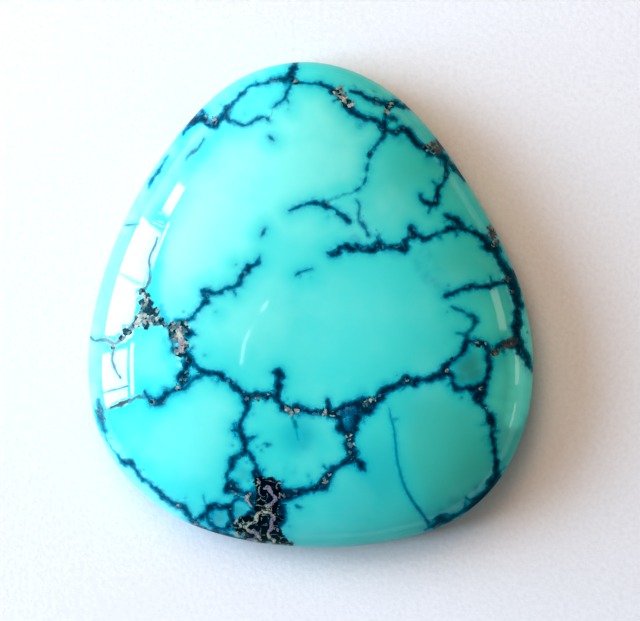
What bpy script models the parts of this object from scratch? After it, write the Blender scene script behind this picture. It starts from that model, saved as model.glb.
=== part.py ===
"""A free-form polished turquoise: one stone with a domed face, a low girdle and a flat back.

The stone rests on its back at z = 0, with its dome up (+Z) and its long side along Y.
The origin is the middle of its bounding box, seen from above, at the height of the back.
"""

import math

import bmesh
import bpy
import numpy as np

MM = 0.001

# Driving dimensions, in millimetres.
WIDTH = 30.0           # along X, over the girdle
LENGTH = 32.7          # along Y, over the girdle
THICKNESS = 6.6        # back to the top of the dome
GIRDLE_TOP = 1.7       # height at which the upright edge turns into the dome
BEVEL = 0.6            # radius of the rounded edge between the girdle and the back

# The rim seen from above: where a closed smooth curve passes, anticlockwise from the right.
RIM_POINTS = (
    (14.2, 1.0), (12.3, 5.3), (9.8, 9.4), (6.2, 13.7),         # right shoulder, running up
    (0.6, 16.3), (-4.6, 15.3),                                 # rounded top
    (-8.3, 12.1), (-11.9, 6.8), (-14.1, 1.2),                  # left shoulder, running down
    (-14.9, -4.6), (-13.7, -9.6), (-8.4, -14.6),               # broad lower left corner
    (-2.2, -16.2), (4.4, -16.1),                               # bottom
    (10.8, -13.8), (14.4, -8.4), (15.0, -4.0),                 # broad lower right corner
)

# The dome: every level is the rim, shrunk towards this point.
DOME_CENTRE = (0.2, -1.2)
DOME_FULLNESS = 2.8    # 2 is an ellipse; more has a flatter top and a rounder shoulder

# Hand grinding leaves the shoulder a little uneven: (waves round the stone, part of height, phase).
GRINDING_WAVES = ((2, 0.022, 0.6), (3, 0.012, 2.1), (5, 0.006, 4.0))

# How finely the solid is faceted.
SEGMENTS = 104
DOME_RINGS = 20
BEVEL_RINGS = 3
BACK_RINGS = 3

TURQUOISE = (0.07, 0.72, 0.68, 1.0)
POLISHED_ROUGHNESS = 0.16


def clear_scene():
    """Remove every object, so that the script starts from nothing."""
    for old in list(bpy.data.objects):
        bpy.data.objects.remove(old, do_unlink=True)


def smooth_closed_curve(points, count):
    """Return `count` places along the closed cubic curve through the points, bending evenly."""
    points = np.asarray(points, dtype=float)
    total = len(points)
    after = np.roll(points, -1, axis=0)
    steps = np.linalg.norm(after - points, axis=1)
    slopes = (after - points) / steps[:, None]
    system = np.zeros((total, total))
    index = np.arange(total)
    system[index, index] = 2.0 * (steps + np.roll(steps, 1))
    system[index, (index - 1) % total] = np.roll(steps, 1)
    system[index, (index + 1) % total] = steps
    bends = np.linalg.solve(system, 6.0 * (slopes - np.roll(slopes, 1, axis=0)))

    knots = np.concatenate(([0.0], np.cumsum(steps)))
    along = np.linspace(0.0, knots[-1], count, endpoint=False)
    span = np.searchsorted(knots, along, side="right") - 1
    step = steps[span][:, None]
    done = (along - knots[span])[:, None]
    left = step - done
    start_bend = bends[span]
    end_bend = bends[(span + 1) % total]
    return (
        (start_bend * left**3 + end_bend * done**3) / (6.0 * step)
        + (points[span] / step - start_bend * step / 6.0) * left
        + (after[span] / step - end_bend * step / 6.0) * done
    )


def rim_outline(count):
    """Return the rim in millimetres, fitted to the driving width and length about the origin."""
    curve = smooth_closed_curve(RIM_POINTS, count)
    low = curve.min(axis=0)
    high = curve.max(axis=0)
    return (curve - (low + high) / 2.0) * (np.array((WIDTH, LENGTH)) / (high - low))


def grinding(angle, inward):
    """Return the part by which the dome's height differs at this angle; none at its centre."""
    waves = sum(size * np.cos(count * angle + phase) for count, size, phase in GRINDING_WAVES)
    return 1.0 + waves * inward**2


def level(rim, part, height):
    """Return one level of the stone: the rim shrunk to `part` of its size, at these heights."""
    centre = np.array(DOME_CENTRE)
    flat = centre + (rim - centre) * part
    heights = np.broadcast_to(height, len(flat))
    return np.column_stack((flat, heights))


def dome_levels(rim):
    """Return the dome's levels, rim first; height falls off as the root of 1 - part**fullness."""
    away = rim - np.array(DOME_CENTRE)
    angle = np.arctan2(away[:, 1], away[:, 0])
    levels = []
    for turn in np.linspace(math.pi / 2.0, 0.0, DOME_RINGS, endpoint=False):
        part = math.sin(turn) ** (2.0 / DOME_FULLNESS)
        rise = (THICKNESS - GIRDLE_TOP) * math.cos(turn) * grinding(angle, part)
        levels.append(level(rim, part, GIRDLE_TOP + rise))
    return levels


def bevel_levels(rim):
    """Return the levels of the rounded lower edge, from the flat back out to the girdle."""
    reach = np.linalg.norm(rim - np.array(DOME_CENTRE), axis=1).mean()
    levels = []
    for turn in np.linspace(0.0, math.pi / 2.0, BEVEL_RINGS + 1):
        inset = BEVEL * (1.0 - math.sin(turn))
        levels.append(level(rim, 1.0 - inset / reach, BEVEL * (1.0 - math.cos(turn))))
    return levels


def back_levels(rim):
    """Return the flat back's levels, from next to its middle out to near its edge."""
    parts = np.linspace(0.0, 1.0, BACK_RINGS + 2)[1:-1]
    return [level(rim, part, 0.0) for part in parts]


def build_stone():
    """Make the stone: its levels stacked from the back to the dome, and closed at both poles."""
    rim = rim_outline(SEGMENTS)
    levels = back_levels(rim) + bevel_levels(rim) + dome_levels(rim)
    mesh = bmesh.new()
    rings = [[mesh.verts.new(point * MM) for point in ring] for ring in levels]
    for lower, upper in zip(rings, rings[1:]):
        for side in range(SEGMENTS):
            beside = (side + 1) % SEGMENTS
            mesh.faces.new((lower[side], lower[beside], upper[beside], upper[side]))
    centre_x, centre_y = DOME_CENTRE
    bottom = mesh.verts.new((centre_x * MM, centre_y * MM, 0.0))
    top = mesh.verts.new((centre_x * MM, centre_y * MM, THICKNESS * MM))
    for side in range(SEGMENTS):
        beside = (side + 1) % SEGMENTS
        mesh.faces.new((bottom, rings[0][beside], rings[0][side]))
        mesh.faces.new((top, rings[-1][side], rings[-1][beside]))
    data = bpy.data.meshes.new("turquoise_stone")
    mesh.to_mesh(data)
    mesh.free()
    data.shade_smooth()
    data.set_sharp_from_angle(angle=math.radians(40.0))
    stone = bpy.data.objects.new("turquoise_stone", data)
    bpy.context.scene.collection.objects.link(stone)
    return stone


def polished_turquoise():
    """Return the stone's plain polished blue-green material."""
    material = bpy.data.materials.new("polished_turquoise")
    material.use_nodes = True
    shader = material.node_tree.nodes["Principled BSDF"]
    shader.inputs["Base Color"].default_value = TURQUOISE
    shader.inputs["Roughness"].default_value = POLISHED_ROUGHNESS
    shader.inputs["Metallic"].default_value = 0.0
    return material


clear_scene()
build_stone().data.materials.append(polished_turquoise())
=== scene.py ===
"""The looks of a polished free-form turquoise: its surface, its web of dark matrix, and a pale studio.

The stone is one closed mesh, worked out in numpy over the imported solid: a domed face, a low girdle, a
rounded lower edge and a flat back. The matrix web is drawn as veins and patches on the face, and leans
through the stone to its girdle and back. What the web does at each vertex is kept in mesh attributes,
which the stone's material reads. Inside this script lengths are in millimetres until a mesh is made.
"""

import itertools
import logging
import math
from dataclasses import dataclass, field
from enum import Enum, IntEnum

import bpy
import numpy as np
from mathutils import Euler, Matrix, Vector


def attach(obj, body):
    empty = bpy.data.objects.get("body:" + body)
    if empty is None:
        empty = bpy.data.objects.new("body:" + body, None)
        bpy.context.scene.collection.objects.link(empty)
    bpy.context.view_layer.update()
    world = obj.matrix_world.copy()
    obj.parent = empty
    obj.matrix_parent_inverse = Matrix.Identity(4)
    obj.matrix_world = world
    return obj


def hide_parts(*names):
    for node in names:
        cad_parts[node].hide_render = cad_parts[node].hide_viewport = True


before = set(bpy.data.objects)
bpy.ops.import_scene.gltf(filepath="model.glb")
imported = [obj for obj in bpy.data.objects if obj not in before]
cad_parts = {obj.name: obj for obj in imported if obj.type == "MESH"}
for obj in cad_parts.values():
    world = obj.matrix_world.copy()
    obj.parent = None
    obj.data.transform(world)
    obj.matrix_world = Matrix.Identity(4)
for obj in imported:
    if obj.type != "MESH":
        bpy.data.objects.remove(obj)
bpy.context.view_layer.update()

NODE = "turquoise_stone"
MM = 0.001
LOG = logging.getLogger("turquoise")

Tree = bpy.types.NodeTree
Socket = bpy.types.NodeSocket


# ---------------------------------------------------------------- numbers and nodes


def linear(hex_code: str) -> tuple[float, float, float, float]:
    """Turn an sRGB hex colour into linear light.

    Args:
        hex_code: six hex digits, with or without a leading #.

    Returns:
        Red, green, blue and an alpha of 1.
    """
    parts = [int(hex_code.lstrip("#")[at:at + 2], 16) / 255.0 for at in (0, 2, 4)]
    red, green, blue = (
        part / 12.92 if part <= 0.04045 else ((part + 0.055) / 1.055) ** 2.4 for part in parts
    )
    return (red, green, blue, 1.0)


def smooth_step(value: np.ndarray, low: float, high: float) -> np.ndarray:
    """Ease from 0 at `low` to 1 at `high`, flat at both ends.

    Args:
        value: what is eased.
        low: where the result is 0.
        high: where the result is 1; it may be below `low`.

    Returns:
        The eased values.
    """
    part = np.clip((value - low) / (high - low), 0.0, 1.0)
    return part * part * (3.0 - 2.0 * part)


def lattice_values(nodes: np.ndarray, seed: int) -> np.ndarray:
    """Give each whole-numbered lattice node a fixed random value.

    Args:
        nodes: whole coordinates, one row a node.
        seed: picks another set of values.

    Returns:
        One value a node, from -1 to 1.
    """
    primes = np.array((73856093, 19349663, 83492791), dtype=np.int64)[:nodes.shape[-1]]
    mixed = (nodes * primes).sum(axis=-1) + seed * 2654435761
    mixed = (mixed ^ (mixed >> 15)) * 2246822519
    mixed = (mixed ^ (mixed >> 13)) * 3266489917
    return ((mixed >> 16) & 0xFFFF) / 32767.5 - 1.0


def value_noise(places: np.ndarray, cell: float, seed: int) -> np.ndarray:
    """Blend random lattice values smoothly: the product of eased weights along each axis.

    Args:
        places: one row a place, in millimetres, of two or three coordinates.
        cell: the lattice spacing in millimetres, about half the size of a bump.
        seed: picks another pattern.

    Returns:
        One value a place, from -1 to 1.
    """
    scaled = places / cell
    corner = np.floor(scaled).astype(np.int64)
    inside = scaled - corner
    eased = inside * inside * (3.0 - 2.0 * inside)
    total = np.zeros(len(places))
    for offset in itertools.product((0, 1), repeat=places.shape[1]):
        weight = np.where(np.array(offset) == 1, eased, 1.0 - eased).prod(axis=1)
        total += weight * lattice_values(corner + np.array(offset), seed)
    return total


def smooth_curve(points: np.ndarray, count: int, closed: bool) -> np.ndarray:
    """Carry a cubic through points so that its bend runs on evenly, and sample it by chord length.

    The second derivatives solve one linear system, and each span is the cubic that they give.

    Args:
        points: one row a point, of any number of columns.
        count: how many samples to return.
        closed: whether the last point joins the first.

    Returns:
        The samples, one row each; on an open curve they include both ends.
    """
    total = len(points)
    after = np.roll(points, -1, axis=0)
    steps = np.linalg.norm((after - points)[:, :2], axis=1)
    before = np.roll(steps, 1)
    slopes = (after - points) / steps[:, None]
    system = np.zeros((total, total))
    index = np.arange(total)
    system[index, index] = 2.0 * (steps + before)
    system[index, (index - 1) % total] = before
    system[index, (index + 1) % total] = steps
    target = 6.0 * (slopes - np.roll(slopes, 1, axis=0))
    if not closed:
        ends = np.array((0, total - 1))
        system[ends] = 0.0
        system[ends, ends] = 1.0
        target[ends] = 0.0
    bends = np.linalg.solve(system, target)
    spans = total if closed else total - 1
    knots = np.concatenate(([0.0], np.cumsum(steps[:spans])))
    along = np.linspace(0.0, knots[-1], count, endpoint=not closed)
    span = np.clip(np.searchsorted(knots, along, side="right") - 1, 0, spans - 1)
    step = steps[span][:, None]
    done = (along - knots[span])[:, None]
    left = step - done
    start_bend = bends[span]
    end_bend = bends[(span + 1) % total]
    return (
        (start_bend * left**3 + end_bend * done**3) / (6.0 * step)
        + (points[span] / step - start_bend * step / 6.0) * left
        + (after[span] / step - end_bend * step / 6.0) * done
    )


def add(
    tree: Tree,
    kind: str,
    settings: dict[str, object] | None = None,
    links: dict[object, object] | None = None,
) -> bpy.types.Node:
    """Add one shader node.

    Args:
        tree: the material's or the world's node tree.
        kind: the node's type, without its leading "ShaderNode".
        settings: the node's own properties by name.
        links: what each input, by name or number, gets: a socket, or a plain value.

    Returns:
        The new node.
    """
    node = tree.nodes.new("ShaderNode" + kind)
    for name, value in (settings or {}).items():
        setattr(node, name, value)
    for key, source in (links or {}).items():
        if isinstance(source, Socket):
            tree.links.new(source, node.inputs[key])
        else:
            node.inputs[key].default_value = source
    return node


def blank_material(name: str) -> tuple[bpy.types.Material, Tree, bpy.types.Node]:
    """Make a material with one Principled shader.

    Args:
        name: the material's name.

    Returns:
        The material, its node tree and the shader node.
    """
    material = bpy.data.materials.new(name)
    material.use_nodes = True
    return material, material.node_tree, material.node_tree.nodes["Principled BSDF"]


def mesh_object(name: str, places: np.ndarray, faces: np.ndarray) -> bpy.types.Object:
    """Put a surface into a new smooth-shaded mesh object at the origin.

    Args:
        name: the object's and its mesh's name.
        places: one row a vertex, in millimetres.
        faces: one row a face, of three or four vertex numbers; a triangle repeats none and ends in -1.

    Returns:
        The object, linked to the scene.
    """
    sizes = np.where(faces[:, 3] < 0, 3, 4).astype(np.int32)
    corners = faces[faces >= 0].astype(np.int32)
    mesh = bpy.data.meshes.new(name)
    mesh.vertices.add(len(places))
    mesh.vertices.foreach_set("co", (places * MM).astype(np.float32).ravel())
    mesh.loops.add(len(corners))
    mesh.loops.foreach_set("vertex_index", corners)
    mesh.polygons.add(len(faces))
    mesh.polygons.foreach_set("loop_start", np.concatenate(([0], np.cumsum(sizes)[:-1])))
    mesh.update(calc_edges=True)
    mesh.shade_smooth()
    mesh.validate()
    made = bpy.data.objects.new(name, mesh)
    bpy.context.scene.collection.objects.link(made)
    return made


# ---------------------------------------------------------------- the cut of the stone


@dataclass(frozen=True)
class Cut:
    """How the stone was cut: its outline and its profile, in millimetres, as the solid has them."""

    width: float = 30.0
    length: float = 32.7
    thickness: float = 6.6
    girdle_top: float = 1.7
    bevel: float = 0.6
    centre: tuple[float, float] = (0.2, -1.2)    # towards which each ring of the dome shrinks
    fullness: float = 2.8          # 2 is an ellipse; more has a flatter top and a rounder shoulder
    # Waves round the stone that hand grinding leaves: how many, their part of the height, their phase.
    grinding: tuple[tuple[int, float, float], ...] = ((2, 0.022, 0.6), (3, 0.012, 2.1), (5, 0.006, 4.0))
    rim_points: tuple[tuple[float, float], ...] = (
        (14.2, 1.0), (12.3, 5.3), (9.8, 9.4), (6.2, 13.7), (0.6, 16.3), (-4.6, 15.3), (-8.3, 12.1),
        (-11.9, 6.8), (-14.1, 1.2), (-14.9, -4.6), (-13.7, -9.6), (-8.4, -14.6), (-2.2, -16.2),
        (4.4, -16.1), (10.8, -13.8), (14.4, -8.4), (15.0, -4.0),
    )
    rim_count: int = 4096          # places along the rim that others are read between
    walk_count: int = 3000         # and along each stretch of the profile
    mean_count: int = 64           # directions that the mean reach is taken over

    def rim(self) -> np.ndarray:
        """Lay a closed smooth curve through the rim's points, fitted to the width and length.

        Returns:
            One row a place, x and y.
        """
        curve = smooth_curve(np.array(self.rim_points), self.rim_count, closed=True)
        low, high = curve.min(axis=0), curve.max(axis=0)
        return (curve - (low + high) / 2.0) * (np.array((self.width, self.length)) / (high - low))

    def reach(self, angle: np.ndarray) -> np.ndarray:
        """Find how far the rim is from the dome's centre in each direction.

        Args:
            angle: the directions, anticlockwise from +X.

        Returns:
            One distance for each.
        """
        away = self.rim() - np.array(self.centre)
        turned = np.arctan2(away[:, 1], away[:, 0])
        order = np.argsort(turned)
        return np.interp(angle, turned[order], np.linalg.norm(away, axis=1)[order], period=2.0 * math.pi)

    def uneven(self, angle: np.ndarray, part: np.ndarray) -> np.ndarray:
        """Return the part by which hand grinding changes the dome's height; 1 at its centre."""
        waves = sum(size * np.cos(count * angle + phase) for count, size, phase in self.grinding)
        return 1.0 + waves * part**2

    def dome_height(self, flat: np.ndarray) -> np.ndarray:
        """Return the face's height over each place seen from above; the girdle's top past the rim.

        The height over the girdle falls off as the root of 1 - part**fullness, where part is how far
        out towards the rim a place lies.

        Args:
            flat: one row a place, x and y.

        Returns:
            One height a place.
        """
        away = flat - np.array(self.centre)
        angle = np.arctan2(away[:, 1], away[:, 0])
        part = np.clip(np.linalg.norm(away, axis=1) / self.reach(angle), 0.0, 1.0)
        rise = np.sqrt(1.0 - part**self.fullness) * self.uneven(angle, part)
        return self.girdle_top + (self.thickness - self.girdle_top) * rise

    def profile(
        self, rings: np.ndarray, edge_share: float = 0.62,
    ) -> tuple[np.ndarray, np.ndarray, np.ndarray]:
        """Walk down the profile from the top of the dome to the edge of the back.

        The dome is followed by its turn, from 0 at the top to a quarter turn at the rim, where
        part = sin(turn)**(2 / fullness) and the rise is cos(turn). Then come the upright girdle and
        a quarter circle in to the back. Steps are even along the surface, and longer on the edge.

        Args:
            rings: how far along the walk to stop, from 0 to 1.
            edge_share: how densely the girdle and the rounded edge are stepped, next to the dome.

        Returns:
            The part of the rim's size, the rise as a part of the dome's, and the height without it.
        """
        round_about = np.linspace(0.0, 2.0 * math.pi, self.mean_count, endpoint=False)
        mean_reach = float(self.reach(round_about).mean())
        fine = np.linspace(0.0, 1.0, self.walk_count)
        turn = fine * math.pi / 2.0
        part = np.concatenate((
            np.sin(turn) ** (2.0 / self.fullness),
            np.ones_like(fine),
            1.0 - self.bevel * (1.0 - np.cos(turn)) / mean_reach,
        ))
        rise = np.concatenate((np.cos(turn), np.zeros(2 * len(fine))))
        base = np.concatenate((
            np.full_like(fine, self.girdle_top),
            self.girdle_top + (self.bevel - self.girdle_top) * fine,
            self.bevel * (1.0 - np.sin(turn)),
        ))
        height = base + (self.thickness - self.girdle_top) * rise
        steps = np.hypot(np.diff(part * mean_reach), np.diff(height))
        steps[len(fine):] *= edge_share
        walked = np.concatenate(([0.0], np.cumsum(steps)))
        stop = rings * walked[-1]
        return np.interp(stop, walked, part), np.interp(stop, walked, rise), np.interp(stop, walked, base)


@dataclass(frozen=True)
class Sheet:
    """A square grid bent into rings: ring k has 8k vertices, evenly turned about the centre.

    A grid place (i, j) lies on ring max(|i|, |j|); its turn is an eighth of a circle times the
    smaller over the larger of the two, from the axis that it is nearest to.
    """

    rings: int

    def places(self) -> tuple[np.ndarray, np.ndarray]:
        """Place the grid's vertices.

        Returns:
            Each vertex's ring, from 0 to 1, and its angle.
        """
        steps = np.arange(-self.rings, self.rings + 1)
        across, along = (axis.ravel().astype(float) for axis in np.meshgrid(steps, steps, indexing="ij"))
        wide = np.abs(across) >= np.abs(along)
        larger = np.where(wide, across, along)
        share = np.where(wide, along, -across) / np.where(larger == 0.0, 1.0, larger)
        start = np.where(wide, 0.0, math.pi / 2.0) + np.where(larger < 0.0, math.pi, 0.0)
        return np.abs(larger) / self.rings, start + math.pi / 4.0 * share

    def quads(self) -> np.ndarray:
        """List the grid's faces, which face up when the angles run anticlockwise.

        Returns:
            One row a face, of four vertex numbers.
        """
        side = 2 * self.rings + 1
        corner = (np.arange(side - 1)[:, None] * side + np.arange(side - 1)[None, :]).ravel()
        return np.column_stack((corner, corner + side, corner + side + 1, corner + 1))

    def edge(self) -> np.ndarray:
        """Walk once round the outermost ring.

        Returns:
            Its vertex numbers in order of their angle, from 0 up.
        """
        ring, angle = self.places()
        outer = np.flatnonzero(ring == 1.0)
        return outer[np.argsort(np.round(angle[outer] % (2.0 * math.pi), 9) % (2.0 * math.pi))]


# ---------------------------------------------------------------- the matrix web


class Fill(Enum):
    """What fills a patch of the web. Each value is the mesh attribute that says where it is."""

    GRIT = "web_grit"      # tan, grey and white grains in dark matrix
    PITCH = "web_pitch"    # black lumps, pitted where the wheel tore them
    RUST = "web_rust"      # brown-red iron stain over grains
    BLUE = "web_blue"      # dark matrix under a thin skin of turquoise
    SMUDGE = "web_smudge"  # a faint blue shadow of matrix deeper down


class Cloud(Enum):
    """How a stretch of the blue body differs. Each value is the mesh attribute that says where."""

    CHALKY = "body_chalky"      # paler, where the turquoise is more porous
    GREEN = "body_green"        # greener and darker, over the cells on the right and the right shoulder
    DEEP = "body_deep"          # darker and bluer
    MILKY = "body_milky"        # whitish: painted glare along the edges that face the window, and one small pale spot by the left wall
    LIMONITE = "web_limonite"   # not the body but its cracks: browner, full of limonite
    PALE = "body_pale"          # pale green: painted rim light along the rim away from the window, and a faint pale patch low in the middle
    DUSKY = "body_dusky"        # dull and dark, where matrix lies close under the skin


class Seed(IntEnum):
    """What each use of the value noise adds to the web's seed, so that no two patterns are alike."""

    WANDER = 0       # ten apart for each size of bump
    SWELL = 40
    LUMP = 50
    LEAN = 70
    THINNING = 80
    PIT = 90
    POLISH = 91


@dataclass(frozen=True)
class Vein:
    """One vein, drawn as stops of x, y and width on the drawing grid.

    Tone 1 is the darkest, and ragged says how much it wanders, beads and throws twigs.
    """

    name: str
    stops: tuple[tuple[float, float, float], ...]
    tone: float = 1.0
    ragged: float = 1.0


@dataclass(frozen=True)
class Patch:
    """One cluster of matrix or cloud of the body, drawn as round spots of x, y and radius."""

    name: str
    fill: Fill | Cloud
    spots: tuple[tuple[float, float, float], ...]
    tone: float = 1.0


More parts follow.
